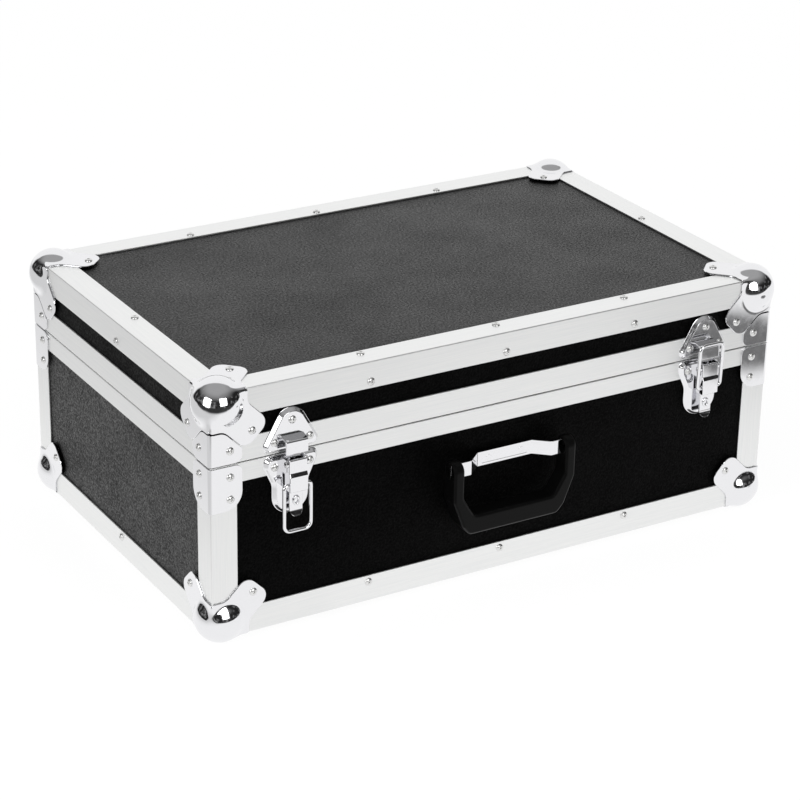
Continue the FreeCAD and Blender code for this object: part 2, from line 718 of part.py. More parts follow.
def catch(side, middle):
    """The lid's half of a latch: a dished plate with a hook that the bail goes over."""
    corners = [
        (f"{middle} - sizes.catch_foot_half_width", above("sizes.catch_foot")),
        (f"{middle} + sizes.catch_foot_half_width", above("sizes.catch_foot")),
        (f"{middle} + sizes.catch_tip_half_width", above("sizes.catch_top")),
        (f"{middle} - sizes.catch_tip_half_width", above("sizes.catch_top")),
    ]
    plate = dished(f"catch_{side}", corners, [
        (0, "sizes.catch_foot_round"),
        (1, "sizes.catch_foot_round"),
        (2, "sizes.catch_tip_round"),
        (3, "sizes.catch_tip_round"),
    ])
    root = "sizes.plate_dish - sizes.plate_sheet / 2"
    lip = "sizes.hook_standoff - sizes.hook_sheet"
    hook = side_profile(f"hook_{side}", [
        (root, above("sizes.hook_root")),
        ("sizes.hook_standoff", above("sizes.hook_brow")),
        ("sizes.hook_standoff", above("sizes.hook_foot")),
        (lip, above("sizes.hook_foot")),
        (lip, above("sizes.hook_brow - sizes.hook_sheet")),
        (root, above("sizes.hook_root - sizes.hook_sheet")),
    ], "sizes.hook_half_width", middle)
    return fuse(f"catch_whole_{side}", [plate, hook])


def keeper(side, middle):
    """The tray's half of a latch: a dished plate with two ears that carry the lever's pin."""
    def row(half_width, drop):
        return (f"{middle} + {half_width}", below(drop))

    corners = [
        row("(-sizes.keeper_half_width)", "sizes.keeper_top"),
        row("(-sizes.keeper_half_width)", "sizes.keeper_shoulder"),
        row("(-sizes.keeper_waist_half_width)", "sizes.keeper_waist"),
        row("(-sizes.keeper_waist_half_width)", "sizes.keeper_foot"),
        row("sizes.keeper_waist_half_width", "sizes.keeper_foot"),
        row("sizes.keeper_waist_half_width", "sizes.keeper_waist"),
        row("sizes.keeper_half_width", "sizes.keeper_shoulder"),
        row("sizes.keeper_half_width", "sizes.keeper_top"),
    ]
    plate = dished(f"keeper_{side}", corners, [
        (0, "sizes.keeper_top_round"),
        (1, "sizes.keeper_shoulder_round"),
        (2, "sizes.keeper_waist_round"),
        (3, "sizes.keeper_foot_round"),
        (4, "sizes.keeper_foot_round"),
        (5, "sizes.keeper_waist_round"),
        (6, "sizes.keeper_shoulder_round"),
        (7, "sizes.keeper_top_round"),
    ])
    ears = []
    inner = "(sizes.lever_half_width + sizes.ear_gap)"
    root = out("sizes.plate_dish - sizes.plate_sheet / 2")
    for hand, low in (("a", f"{middle} - {inner} - sizes.ear_sheet"), ("b", f"{middle} + {inner}")):
        high = f"{low} + sizes.ear_sheet"
        ears.append(rod(f"ear_eye_{hand}_{side}", "+X", (low, *PIVOT), "sizes.ear_radius", "sizes.ear_sheet"))
        ears.append(box(f"ear_{hand}_{side}", (low, high), (PIVOT[0], root),
                        (below("sizes.ear_foot"), f"{PIVOT[1]} + sizes.ear_radius")))
    whole = fuse(f"keeper_whole_{side}", [plate, *ears])
    span = f"2 * ({inner} + sizes.ear_sheet + sizes.overrun)"
    bore = rod(f"keeper_bore_{side}", "+X", (f"{middle} - ({span}) / 2", *PIVOT),
               "sizes.lever_pin_radius + sizes.pin_play", span)
    return cut(f"keeper_bored_{side}", whole, [bore])


def lever(side, middle):
    """The lever: a folded channel that the bail hangs in, with a finger tab at its foot."""
    half = "sizes.lever_half_width"
    face = "sizes.lever_face_standoff"
    skin = side_profile(f"lever_skin_{side}", [
        (face, below("sizes.lever_top")),
        (face, below("sizes.lever_step_top")),
        (DEEP_FACE, below("sizes.lever_step_foot")),
        (DEEP_FACE, below("sizes.lever_box_foot")),
        (TAB_BACK, below("sizes.lever_box_foot")),
        (TAB_BACK, below("sizes.lever_box_foot - sizes.lever_sheet")),
        (f"{DEEP_FACE} - sizes.lever_sheet", below("sizes.lever_box_foot - sizes.lever_sheet")),
        (f"{DEEP_FACE} - sizes.lever_sheet", below("sizes.lever_step_foot")),
        (CAVITY, below("sizes.lever_step_top")),
        (CAVITY, below("sizes.lever_top")),
    ], half, middle)
    walls = []
    for hand, low in (("a", f"{middle} - {half}"), ("b", f"{middle} + {half} - sizes.lever_sheet")):
        corners = [
            (out("sizes.lever_wall_back"), PIVOT[1]),
            (out(CAVITY), below("sizes.lever_top + sizes.lever_sheet")),
            (out(CAVITY), below("sizes.lever_step_top")),
            (out(f"{DEEP_FACE} - sizes.lever_sheet"), below("sizes.lever_step_foot")),
            (out(f"{DEEP_FACE} - sizes.lever_sheet"), below("sizes.lever_box_foot")),
            (out("sizes.lever_wall_back"), below("sizes.lever_box_foot")),
        ]
        walls.append(pad(f"lever_wall_{hand}_{side}", "YZ_Plane", corners, "sizes.lever_sheet", lift=low))
        walls.append(rod(f"lever_nose_{hand}_{side}", "+X", (low, *PIVOT), "sizes.lever_nose_radius",
                         "sizes.lever_sheet"))
    tab = side_profile(f"lever_tab_{side}", [
        (TAB_BACK, below("sizes.lever_box_foot - sizes.lever_sheet")),
        ("sizes.tongue_tab_standoff", below("sizes.lever_box_foot - sizes.lever_sheet")),
        ("sizes.tongue_tab_standoff", below("sizes.tongue_tab_bend")),
        ("sizes.tongue_tab_standoff + sizes.tongue_tab_lift", below("sizes.tongue_tab_foot")),
        (f"{TAB_BACK} + sizes.tongue_tab_lift", below("sizes.tongue_tab_foot")),
        (TAB_BACK, below("sizes.tongue_tab_bend")),
    ], "sizes.tongue_tab_half_width", middle)
    tab_left, tab_right = (f"{middle} {sign} sizes.tongue_tab_half_width" for sign in "-+")
    tab_front = pad(f"lever_tab_front_{side}", "XZ_Plane", [
        (tab_left, below("sizes.lever_box_foot - sizes.lever_sheet")),
        (tab_right, below("sizes.lever_box_foot - sizes.lever_sheet")),
        (tab_right, below("sizes.tongue_tab_foot")),
        (tab_left, below("sizes.tongue_tab_foot")),
    ], "2 * (sizes.lever_sheet + sizes.tongue_tab_lift)", lift=f"-({out('sizes.tongue_tab_standoff')})",
        way="both", rounds=[(index, "sizes.tongue_tab_round") for index in (2, 3)])
    tab = common(f"lever_tab_rounded_{side}", tab, tab_front)
    foot = (middle, out("sizes.tongue_tab_standoff"), below("sizes.staple_drop"))
    staple = rod(f"staple_{side}", "-Y", foot, "sizes.staple_radius", "sizes.staple_height")
    whole = fuse(f"lever_whole_{side}", [skin, *walls, tab, staple])
    span = f"2 * ({half} + sizes.overrun)"
    start = f"{middle} - ({span}) / 2"
    bores = [
        rod(f"lever_bore_{side}", "+X", (start, *PIVOT), "sizes.lever_pin_radius + sizes.pin_play", span),
        rod(f"bail_bore_{side}", "+X", (start, *BAIL_PIVOT), "sizes.bail_wire_radius + sizes.pin_play", span),
        rod(f"staple_bore_{side}", "-Y", (foot[0], f"{foot[1]} + sizes.overrun", foot[2]),
            "sizes.staple_bore", "2 * sizes.overrun + sizes.staple_height"),
    ]
    return cut(f"lever_bored_{side}", whole, bores)


def bail(side, middle, hanging):
    """The bail: one bent wire whose ends turn in the lever, hanging down or stood up by the hook."""
    body = doc.addObject("PartDesign::Body", f"bail_{side}")
    reach = "(-sizes.bail_length)" if hanging else "sizes.bail_length"
    path = sketch_on(body, f"bail_path_{side}", "XZ_Plane")
    trace(path, [
        ("sizes.bail_end", "0"),
        ("sizes.bail_half_width", "0"),
        ("sizes.bail_half_width", reach),
        ("-sizes.bail_half_width", reach),
        ("-sizes.bail_half_width", "0"),
        ("-sizes.bail_end", "0"),
    ], [
        (1, "sizes.bail_pivot_bend"),
        (2, "sizes.bail_bend"),
        (3, "sizes.bail_bend"),
        (4, "sizes.bail_pivot_bend"),
    ], closed=False)
    wire = sketch_on(body, f"bail_wire_{side}", "YZ_Plane", "sizes.bail_end")
    wire.addGeometry(Part.Circle(Vector(), Vector(0, 0, 1), value("sizes.bail_wire_radius")), False)
    wire.addConstraint(Sketcher.Constraint("Coincident", 0, 3, -1, 1))
    held = wire.addConstraint(Sketcher.Constraint("Radius", 0, value("sizes.bail_wire_radius")))
    wire.setExpression(f"Constraints[{held}]", "sizes.bail_wire_radius")
    pipe = body.newObject("PartDesign::AdditivePipe", f"bail_pipe_{side}")
    pipe.Profile = wire
    pipe.Spine = path
    lean = 0
    if not hanging:
        clear = "sizes.hook_standoff + sizes.bail_hook_gap + sizes.bail_wire_radius - sizes.bail_pivot_standoff"
        lean = math.degrees(math.asin(value(clear) / value("sizes.bail_length")))
    body.Placement = Placement(Vector(), Rotation(Vector(1, 0, 0), lean))
    for axis, place in zip("xyz", (middle, *BAIL_PIVOT)):
        body.setExpression(f"Placement.Base.{axis}", place)
    return body


lever_pins = []
for side, sign in (("left", "-"), ("right", "")):
    middle = f"({sign}(sizes.case_length / 2 - sizes.latch_inset))"
    node(f"{side}_catch", catch(side, middle))
    node(f"{side}_latch_plate", keeper(side, middle))
    node(f"{side}_lever", lever(side, middle))
    node(f"{side}_bail", bail(side, middle, hanging=side == "left"))
    reach = "(sizes.lever_half_width + sizes.ear_gap + sizes.ear_sheet)"
    lever_pins.append(rod(f"lever_pin_{side}", "+X", (f"{middle} - {reach}", *PIVOT), "sizes.lever_pin_radius",
                          f"2 * {reach}"))
node("lever_pins", group("lever_pins", lever_pins))

# The handle's strap: its middle lies on the panel and its raised ends turn in the grip's sockets
STRAP_SEAT = "(-sizes.angle_wall)"
STRAP_FACE = f"({STRAP_SEAT} + sizes.strap_thickness)"
END_BACK = "(sizes.strap_standoff - sizes.strap_thickness / 2)"
END_FACE = "(sizes.strap_standoff + sizes.strap_thickness / 2)"
BEND = (f"(sizes.strap_thickness * tan(atan(({END_FACE} - {STRAP_FACE}) / "
        "(sizes.strap_bridge_half - sizes.strap_seat_half)) / 2))")
STRAP_END = "(sizes.grip_mouth_half + sizes.strap_tongue)"
half_strap = [
    (STRAP_END, END_FACE),
    ("sizes.strap_bridge_half", END_FACE),
    ("sizes.strap_seat_half", STRAP_FACE),
]
half_back = [
    (f"(sizes.strap_seat_half + {BEND})", STRAP_SEAT),
    (f"(sizes.strap_bridge_half + {BEND})", END_BACK),
    (STRAP_END, END_BACK),
]
section = [(across, out(standoff)) for across, standoff in half_strap]
section += [(f"-{across}", out(standoff)) for across, standoff in reversed(half_strap)]
section += [(f"-{across}", out(standoff)) for across, standoff in reversed(half_back)]
section += [(across, out(standoff)) for across, standoff in half_back]
strap = pad("strap", "XY_Plane", section, "sizes.strap_width", lift=STRAP_HEIGHT, way="both")
strap_holes = []
strap_rivets = []
for side, sign in (("left", "-"), ("right", "")):
    start = (f"{sign}sizes.strap_rivet_half_pitch", out(f"{STRAP_FACE} + sizes.overrun"), STRAP_HEIGHT)
    hole_radius = "sizes.strap_rivet_radius + sizes.pin_play"
    strap_holes.append(rod(f"strap_hole_{side}", "+Y", start, hole_radius, "3 * sizes.overrun"))
    seat = (start[0], out(STRAP_FACE), STRAP_HEIGHT)
    strap_rivets.append(rod(f"strap_rivet_{side}", "+Y", seat, "sizes.strap_rivet_radius",
                            "sizes.strap_thickness + sizes.panel_thickness"))
node("handle_bracket", cut("strap_drilled", strap, strap_holes))
node("handle_rivets", group("handle_rivets", strap_rivets))

# The moulded grip: a hand bar between two arms, each arm ending in a round eye with a socket
right_side = [
    ("sizes.grip_half_width", "0"),
    ("sizes.grip_half_width", "sizes.grip_side_drop"),
    ("sizes.grip_knee_half", "sizes.grip_knee_drop"),
    ("sizes.grip_foot_half", "sizes.grip_drop"),
]
right_mouth = [
    ("sizes.grip_mouth_foot_half", "sizes.grip_bar_drop"),
    ("sizes.grip_mouth_half", "sizes.grip_mouth_drop"),
    ("sizes.grip_mouth_half", "0"),
]


def hung(places, sign=""):
    """Corners of the grip's front view, each a distance below the strap."""
    return [(f"{sign}{across}", f"{STRAP_HEIGHT} - {drop}") for across, drop in places]


grip_corners = hung(right_side) + hung(reversed(right_side), "-")
grip_corners += hung(reversed(right_mouth), "-") + hung(right_mouth)
grip_rounds = [(index, "sizes.grip_corner_round") for index in (1, 2, 3, 4, 5, 6, 9, 10, 11, 12)]
grip_bar = pad("grip_bar", "XZ_Plane", grip_corners, "2 * sizes.grip_eye_radius",
               lift=f"-({out('sizes.strap_standoff')})", way="both", rounds=grip_rounds)
grip_parts = [grip_bar]
sockets = []
for side, sign in (("left", "-"), ("right", "")):
    way = "-X" if sign else "+X"
    start = (f"{sign}sizes.grip_mouth_half", out("sizes.strap_standoff"), STRAP_HEIGHT)
    grip_parts.append(rod(f"grip_eye_{side}", way, start, "sizes.grip_eye_radius",
                          "sizes.grip_half_width - sizes.grip_mouth_half"))
    mouth = (f"{sign}(sizes.grip_mouth_half - sizes.overrun)", start[1], start[2])
    sockets.append(rod(f"grip_socket_{side}", way, mouth, "sizes.grip_socket_radius",
                       "sizes.overrun + sizes.strap_tongue + sizes.strap_play"))
node("handle_grip", cut("grip_socketed", fuse("grip_whole", grip_parts), sockets))
doc.recompute()

# Pop rivets: one dome with a bore where its nail broke off, copied to every seat
dome_radius = "((sizes.rivet_radius * sizes.rivet_radius / sizes.rivet_head + sizes.rivet_head) / 2)"
dome = doc.addObject("Part::Sphere", "rivet_dome")
dome.setExpression("Radius", dome_radius)
dome.setExpression("Placement.Base.z", f"sizes.rivet_head - {dome_radius}")
wide = f"2 * {dome_radius}"
rivet = cut("rivet", dome, [
    box("rivet_seat", (f"-{wide}", wide), (f"-{wide}", wide), (f"-2 * {wide}", "0")),
    rod("rivet_nail", "+Z", ("0", "0", "sizes.rivet_head - sizes.rivet_bore_depth"), "sizes.rivet_bore",
        "sizes.overrun"),
])
doc.recompute()


def seat(face, across, along, proud="0"):
    """A rivet's place on one face of the case, standing on what lies so far proud of it."""
    across, along, proud = value(across), value(along), value(proud)
    left, right, front, back = value(LEFT), value(RIGHT), value(FRONT), value(BACK)
    spots = {
        "front": (Vector(across, front - proud, along), "-Y"),
        "back": (Vector(across, back + proud, along), "+Y"),
        "left": (Vector(left - proud, across, along), "-X"),
        "right": (Vector(right + proud, across, along), "+X"),
        "under": (Vector(across, along, value(FOOT) - proud), "-Z"),
        "over": (Vector(across, along, value(TOP) + proud), "+Z"),
    }
    spot, way = spots[face]
    return Placement(spot, TURNS[way])


def mirrored_seats(face, across, along, proud, middle_across, middle_along=None):
    """The same seat on both sides of a face's middle, and of its other middle where one is given."""
    pairs = [(across, along), (f"2 * ({middle_across}) - ({across})", along)]
    if middle_along is not None:
        pairs += [(first, f"2 * ({middle_along}) - ({second})") for first, second in list(pairs)]
    return [seat(face, first, second, proud) for first, second in pairs]


PITCHES = (f"{LEFT} + sizes.rivet_inset", "0", f"{RIGHT} - sizes.rivet_inset")
EDGE = "sizes.rivet_edge"
LOBE_SEAT = "(sizes.lobe_rivet_reach / sqrt(2))"
base_seats = []
lid_seats = []
for seats, level, inner_way, flat in ((base_seats, FOOT, "+", "under"), (lid_seats, TOP, "-", "over")):
    height = f"{level} {inner_way} {EDGE}"
    for across in PITCHES:
        seats += [seat("front", across, height), seat("back", across, height)]
        seats += [seat(flat, across, f"{FRONT} + {EDGE}"), seat(flat, across, f"{BACK} - {EDGE}")]
    seats += [seat("left", MIDDLE, height), seat("right", MIDDLE, height)]
    seats += [seat(flat, f"{LEFT} + {EDGE}", MIDDLE), seat(flat, f"{RIGHT} - {EDGE}", MIDDLE)]
    lobe_height = f"{level} {inner_way} {LOBE_SEAT}"
    proud = "sizes.corner_sheet"
    for face in ("front", "back"):
        seats += mirrored_seats(face, f"{LEFT} + {LOBE_SEAT}", lobe_height, proud, "0")
    for face in ("left", "right"):
        seats += mirrored_seats(face, f"{FRONT} + {LOBE_SEAT}", lobe_height, proud, MIDDLE)
    seats += mirrored_seats(flat, f"{LEFT} + {LOBE_SEAT}", f"{FRONT} + {LOBE_SEAT}", proud, "0", MIDDLE)
brace_heights = (
    (base_seats, f"{BRACE_TOP} - sizes.brace_upper_rivet"),
    (base_seats, f"{BRACE_TOP} - sizes.brace_lower_rivet"),
    (lid_seats, f"{LID_BRACE_FOOT} + sizes.lid_brace_rivet"),
)
for seats, height in brace_heights:
    for face in ("front", "back"):
        seats += mirrored_seats(face, f"{LEFT} + sizes.brace_rivet_inset", height, "sizes.brace_sheet", "0")
    for face in ("left", "right"):
        seats += mirrored_seats(face, f"{FRONT} + sizes.brace_rivet_inset", height, "sizes.brace_sheet", MIDDLE)
for sign in ("-", ""):
    middle = f"{sign}(sizes.case_length / 2 - sizes.latch_inset)"
    lid_seats.append(seat("front", middle, above("sizes.catch_tip_rivet"), "sizes.plate_dish"))
    for offset in ("-sizes.latch_rivet_half_pitch", "sizes.latch_rivet_half_pitch"):
        across = f"{middle} + {offset}"
        lid_seats.append(seat("front", across, above("sizes.catch_side_rivet"), "sizes.plate_dish"))
        base_seats.append(seat("front", across, below("sizes.keeper_rivet"), "sizes.plate_dish"))
    for step in ("-sizes.hinge_rivet_pitch", "0", "sizes.hinge_rivet_pitch"):
        across = f"{sign}(sizes.case_length / 2 - sizes.hinge_inset) + {step}"
        base_seats.append(seat("back", across, below("sizes.hinge_rivet_drop"), "sizes.hinge_leaf"))
        lid_seats.append(seat("back", across, above("sizes.hinge_rivet_drop"), "sizes.hinge_leaf"))


def rivets(name, seats):
    """Every rivet of one half of the case, copied from the one that was made."""
    copies = []
    for place in seats:
        copy = rivet.Shape.copy()
        copy.Placement = place.multiply(copy.Placement)
        copies.append(copy)
    gathered = doc.addObject("Part::Feature", name)
    gathered.Shape = Part.makeCompound(copies)
    return node(name, gathered)


rivets("base_rivets", base_seats)
rivets("lid_rivets", lid_seats)

# Check every object, then write each piece
doc.recompute()
failed = [thing.Name for thing in doc.Objects if "Invalid" in thing.State or "Error" in thing.State]
if failed:
    raise RuntimeError(f"these did not build: {failed}")
os.makedirs("parts", exist_ok=True)
whole = FreeCAD.BoundBox()
for piece in nodes:
    shape = piece.Shape
    if shape.isNull() or not shape.isValid() or not shape.Solids:
        raise RuntimeError(f"{piece.Label} is not a valid solid")
    shape.exportStep(f"parts/{piece.Label}.step")
    whole.add(shape.BoundBox)
    print(f"{piece.Label:22} {len(shape.Solids):3} solids {shape.Volume:12.1f} mm3")
print(f"{len(nodes)} nodes")
for axis in "XYZ":
    print(axis, round(getattr(whole, f"{axis}Min"), 3), round(getattr(whole, f"{axis}Max"), 3))
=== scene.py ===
"""A guitar pedal case on a pale studio floor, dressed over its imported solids.

Lengths are millimetres times MM. The case's middle is at x = 0, its front faces -Y.
"""
import bpy
import math
from mathutils import Matrix, Vector


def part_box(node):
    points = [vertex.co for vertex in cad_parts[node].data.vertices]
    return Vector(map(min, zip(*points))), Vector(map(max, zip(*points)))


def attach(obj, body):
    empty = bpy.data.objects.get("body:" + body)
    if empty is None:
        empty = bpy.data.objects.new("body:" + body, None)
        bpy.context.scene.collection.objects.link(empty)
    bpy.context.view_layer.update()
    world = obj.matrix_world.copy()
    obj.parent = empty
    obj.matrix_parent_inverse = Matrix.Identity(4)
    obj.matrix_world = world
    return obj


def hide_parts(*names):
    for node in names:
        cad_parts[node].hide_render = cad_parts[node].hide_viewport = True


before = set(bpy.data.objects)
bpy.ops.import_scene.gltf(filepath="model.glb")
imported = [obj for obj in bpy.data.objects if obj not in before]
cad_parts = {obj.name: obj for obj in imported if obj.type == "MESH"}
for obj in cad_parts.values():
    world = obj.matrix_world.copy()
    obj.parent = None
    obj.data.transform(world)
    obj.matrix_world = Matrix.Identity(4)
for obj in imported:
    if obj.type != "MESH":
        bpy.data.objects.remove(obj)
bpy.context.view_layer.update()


# Plywood panels
# Seven-millimetre ply faced with black melamine laminate that has a fine stippled grain.
# The CAD's flat slabs have the right shape, so they stay and only get their finish here.

MM = 0.001
SIDES = ("front", "back", "left", "right")


def linear(hex_colour):
    """A colour as it is seen, turned to the linear values that Blender works in."""
    parts = [int(hex_colour[start:start + 2], 16) / 255 for start in (1, 3, 5)]
    curved = [part / 12.92 if part <= 0.04045 else ((part + 0.055) / 1.055) ** 2.4 for part in parts]
    return (*curved, 1.0)


def grains(size):
    """The Scale of a pattern whose grains are a size in millimetres."""
    return 1 / (size * MM)


def add(tree, kind, settings, links=()):
    """Add one shader node with its settings, and link its inputs to other nodes' outputs."""
    made = tree.nodes.new(kind)
    for name, value in settings.items():
        if name == "stops":
            for stop, (place, colour) in zip(made.color_ramp.elements, value):
                stop.position = place
                stop.color = colour
        elif isinstance(name, int) or name in made.inputs:
            made.inputs[name].default_value = value
        else:
            setattr(made, name, value)
    for name, source in links:
        tree.links.new(source, made.inputs[name])
    return made


def surface(name, settings):
    """A new material with its main shader set; returns the material, its tree and the shader."""
    made = bpy.data.materials.new(name)
    made.use_nodes = True
    shader = made.node_tree.nodes["Principled BSDF"]
    for socket, value in settings.items():
        shader.inputs[socket].default_value = value
    return made, made.node_tree, shader


def laminated(name, index, pits, peaks):
    """Melamine laminate, nearly black: glossy peaks among matt pits 1.6 mm apart, and wiping marks."""
    made, tree, shader = surface(name, {"IOR": index, "Specular Tint": linear("#101010")})
    place = add(tree, "ShaderNodeTexCoord", {})
    stipple = add(tree, "ShaderNodeTexNoise", {"Scale": grains(1.6), "Detail": 3.0, "Roughness": 0.65},
                  [("Vector", place.outputs["Object"])])
    specks = add(tree, "ShaderNodeValToRGB",
                 {"stops": [(0.45, linear("#020202")), (0.7, linear("#090909"))]},
                 [("Fac", stipple.outputs["Fac"])])
    pitted = add(tree, "ShaderNodeMapRange",
                 {"From Min": 0.35, "From Max": 0.65, "To Min": pits, "To Max": peaks},
                 [("Value", stipple.outputs["Fac"])])
    wiping = add(tree, "ShaderNodeTexNoise", {"Scale": grains(70), "Detail": 3.0, "Roughness": 0.6},
                 [("Vector", place.outputs["Object"])])
    marks = add(tree, "ShaderNodeMapRange",
                {"From Min": 0.3, "From Max": 0.7, "To Min": -0.06, "To Max": 0.06},
                [("Value", wiping.outputs["Fac"])])
    dull = add(tree, "ShaderNodeMath", {"operation": "ADD"},
               [(0, pitted.outputs["Result"]), (1, marks.outputs["Result"])])
    dimples = add(tree, "ShaderNodeBump", {"Strength": 0.6, "Distance": 0.6 * MM},
                  [("Height", stipple.outputs["Fac"])])
    tree.links.new(specks.outputs["Color"], shader.inputs["Base Color"])
    tree.links.new(dull.outputs["Value"], shader.inputs["Roughness"])
    tree.links.new(dimples.outputs["Normal"], shader.inputs["Normal"])
    return made


# The tray's front and the lid's narrow side strips get a copy of the laminate with a lower IOR and rougher
# pits, so it reflects less. This is painted shade that darkens faces the light reaches less, not a finish
# of their own.
satin_panels = ("bottom_panel", "lid_top_panel", "back_panel", "left_panel", "right_panel")
painted_shade_panels = ("front_panel", *(f"lid_{side}_panel" for side in SIDES))
satin_laminate = laminated("stippled melamine laminate", 1.53, 0.62, 0.16)
# This copy of the laminate carries painted shade: the same melamine, made to reflect less.
painted_shade_laminate = laminated("dull melamine laminate", 1.25, 0.75, 0.5)
for finish, names in ((satin_laminate, satin_panels), (painted_shade_laminate, painted_shade_panels)):
    for name in names:
        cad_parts[name].material_slots[0].material = finish


# Edge extrusions and closing profiles
# Natural anodised aluminium, 1.5 mm thick, brushed along its length and mitred at the corners.
# Angles run round the top, the bottom and up the tray's corners.
# A profile with a tongue and one with a groove meet at the seam.

SEAM_GAP = 0.5
LEFT, FRONT, FOOT = (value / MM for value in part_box("bottom_edge_front")[0])
RIGHT, BACK, TOP = (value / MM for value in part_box("lid_edge_back")[1])
MIDDLE = (FRONT + BACK) / 2
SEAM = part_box("lid_rim_front")[0][2] / MM - SEAM_GAP / 2

# Each side's starting corner, the way along it, the way in from it and its length
SIDE_RUNS = {
    "front": ((LEFT, FRONT), (1, 0, 0), (0, 1, 0), RIGHT - LEFT),
    "back": ((LEFT, BACK), (1, 0, 0), (0, -1, 0), RIGHT - LEFT),
    "left": ((LEFT, FRONT), (0, 1, 0), (1, 0, 0), BACK - FRONT),
    "right": ((RIGHT, FRONT), (0, 1, 0), (-1, 0, 0), BACK - FRONT),
}

# Each upright corner's place and the ways in from it
CORNERS = [(end, side, (x, y), (inward_x, inward_y))
           for end, y, inward_y in (("front", FRONT, 1), ("back", BACK, -1))
           for side, x, inward_x in (("left", LEFT, 1), ("right", RIGHT, -1))]

# How much finer the scratches are across the brushing than along it
BRUSHING = {"x": (1, 60, 60), "y": (60, 1, 60), "z": (60, 60, 1)}


def brushed(name, along):
    """Brushed aluminium: a pale metal whose fine scratches, about 0.7 mm apart here, run one way."""
    made, tree, shader = surface(name, {"Metallic": 1.0})
    place = add(tree, "ShaderNodeTexCoord", {})
    drawn = add(tree, "ShaderNodeMapping", {"Scale": BRUSHING[along]},
                [("Vector", place.outputs["Object"])])
    scratch = add(tree, "ShaderNodeTexNoise", {"Scale": grains(40), "Detail": 4.0, "Roughness": 0.6},
                  [("Vector", drawn.outputs["Vector"])])
    tint = add(tree, "ShaderNodeValToRGB",
               {"stops": [(0.3, linear("#ebecec")), (0.7, linear("#f3f3f2"))]},
               [("Fac", scratch.outputs["Fac"])])
    gloss = add(tree, "ShaderNodeMapRange", {"To Min": 0.34, "To Max": 0.4},
                [("Value", scratch.outputs["Fac"])])
    ridges = add(tree, "ShaderNodeBump", {"Strength": 0.06, "Distance": 0.05 * MM},
                 [("Height", scratch.outputs["Fac"])])
    tree.links.new(tint.outputs["Color"], shader.inputs["Base Color"])
    tree.links.new(gloss.outputs["Result"], shader.inputs["Roughness"])
    tree.links.new(ridges.outputs["Normal"], shader.inputs["Normal"])
    return made


brushed_along = {way: brushed(f"brushed aluminium along {way}", way) for way in "xyz"}


def select(piece, kind, wanted):
    """Open a piece for editing with only those of its vertices, edges or faces that a test picks."""
    bpy.context.view_layer.objects.active = piece
    bpy.ops.object.mode_set(mode="EDIT")
    bpy.ops.mesh.select_mode(type=kind)
    bpy.ops.mesh.select_all(action="DESELECT")
    bpy.ops.object.mode_set(mode="OBJECT")
    mesh = piece.data
    for part in {"VERT": mesh.vertices, "EDGE": mesh.edges, "FACE": mesh.polygons}[kind]:
        part.select = wanted(part)
    bpy.ops.object.mode_set(mode="EDIT")


# How many straight steps stand for a rounded corner
ROUND_STEPS = 8


def outline(name, corners, facing):
    """A flat face through (point, radius) corners in millimetres, rounded and looking one way."""
    edge = []
    for index, (point, radius) in enumerate(corners):
        before = (corners[index - 1][0] - point).normalized()
        after = (corners[(index + 1) % len(corners)][0] - point).normalized()
        angle = before.angle(after)
        if not radius:
            edge.append(point)
            continue
        centre = point + (before + after).normalized() * radius / math.sin(angle / 2)
        reach = radius / math.tan(angle / 2)
        first, last = point + before * reach - centre, point + after * reach - centre
        sweep = math.pi - angle
        for step in range(ROUND_STEPS + 1):
            turn = sweep * step / ROUND_STEPS
            spot = (first * math.sin(sweep - turn) + last * math.sin(turn)) / math.sin(sweep)
            edge.append(centre + spot)
    bpy.ops.object.select_all(action="DESELECT")
    bpy.ops.mesh.primitive_circle_add(vertices=len(edge), radius=MM, fill_type="NGON")
    piece = bpy.context.object
    piece.name = name
    for vertex, point in zip(piece.data.vertices, edge):
        vertex.co = point * MM
    piece.data.update()
    if piece.data.polygons[0].normal.dot(Vector(facing)) < 0:
        select(piece, "FACE", lambda face: True)
        bpy.ops.mesh.flip_normals()
        bpy.ops.object.mode_set(mode="OBJECT")
    return piece


def thicken(piece, travel):
    """Draw a flat face out into a solid."""
    select(piece, "FACE", lambda face: True)
    bpy.ops.mesh.extrude_region_move(TRANSFORM_OT_translate={"value": Vector(travel) * MM})
    bpy.ops.mesh.select_all(action="SELECT")
    bpy.ops.mesh.normals_make_consistent(inside=False)
    bpy.ops.object.mode_set(mode="OBJECT")
    return piece


def slice_through(piece, point, normal, **settings):
    """Cut all of a piece by a plane through a point in millimetres."""
    select(piece, "FACE", lambda face: True)
    bpy.ops.mesh.bisect(plane_co=Vector(point) * MM, plane_no=normal, **settings)
    bpy.ops.object.mode_set(mode="OBJECT")


def modify(piece, kind, **settings):
    """Apply one modifier to a piece."""
    bpy.ops.object.select_all(action="DESELECT")
    piece.select_set(True)
    bpy.context.view_layer.objects.active = piece
    modifier = piece.modifiers.new(kind.lower(), kind)
    for name, value in settings.items():
        setattr(modifier, name, value)
    bpy.ops.object.modifier_apply(modifier=modifier.name)
    return piece


def seat(piece, finish, slot, body, *nodes):
    """Finish a piece: smooth its curves, give it its material, body and the nodes it stands for."""
    bpy.ops.object.select_all(action="DESELECT")
    piece.select_set(True)
    bpy.context.view_layer.objects.active = piece
    piece.name = piece.name.replace(" ", "_")
    bpy.ops.object.shade_smooth_by_angle(angle=math.radians(38))
    modify(piece, "WEIGHTED_NORMAL", keep_sharp=True)
    piece.data.materials.clear()
    piece.data.materials.append(finish)
    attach(piece, body)
    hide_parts(*nodes)
    return piece


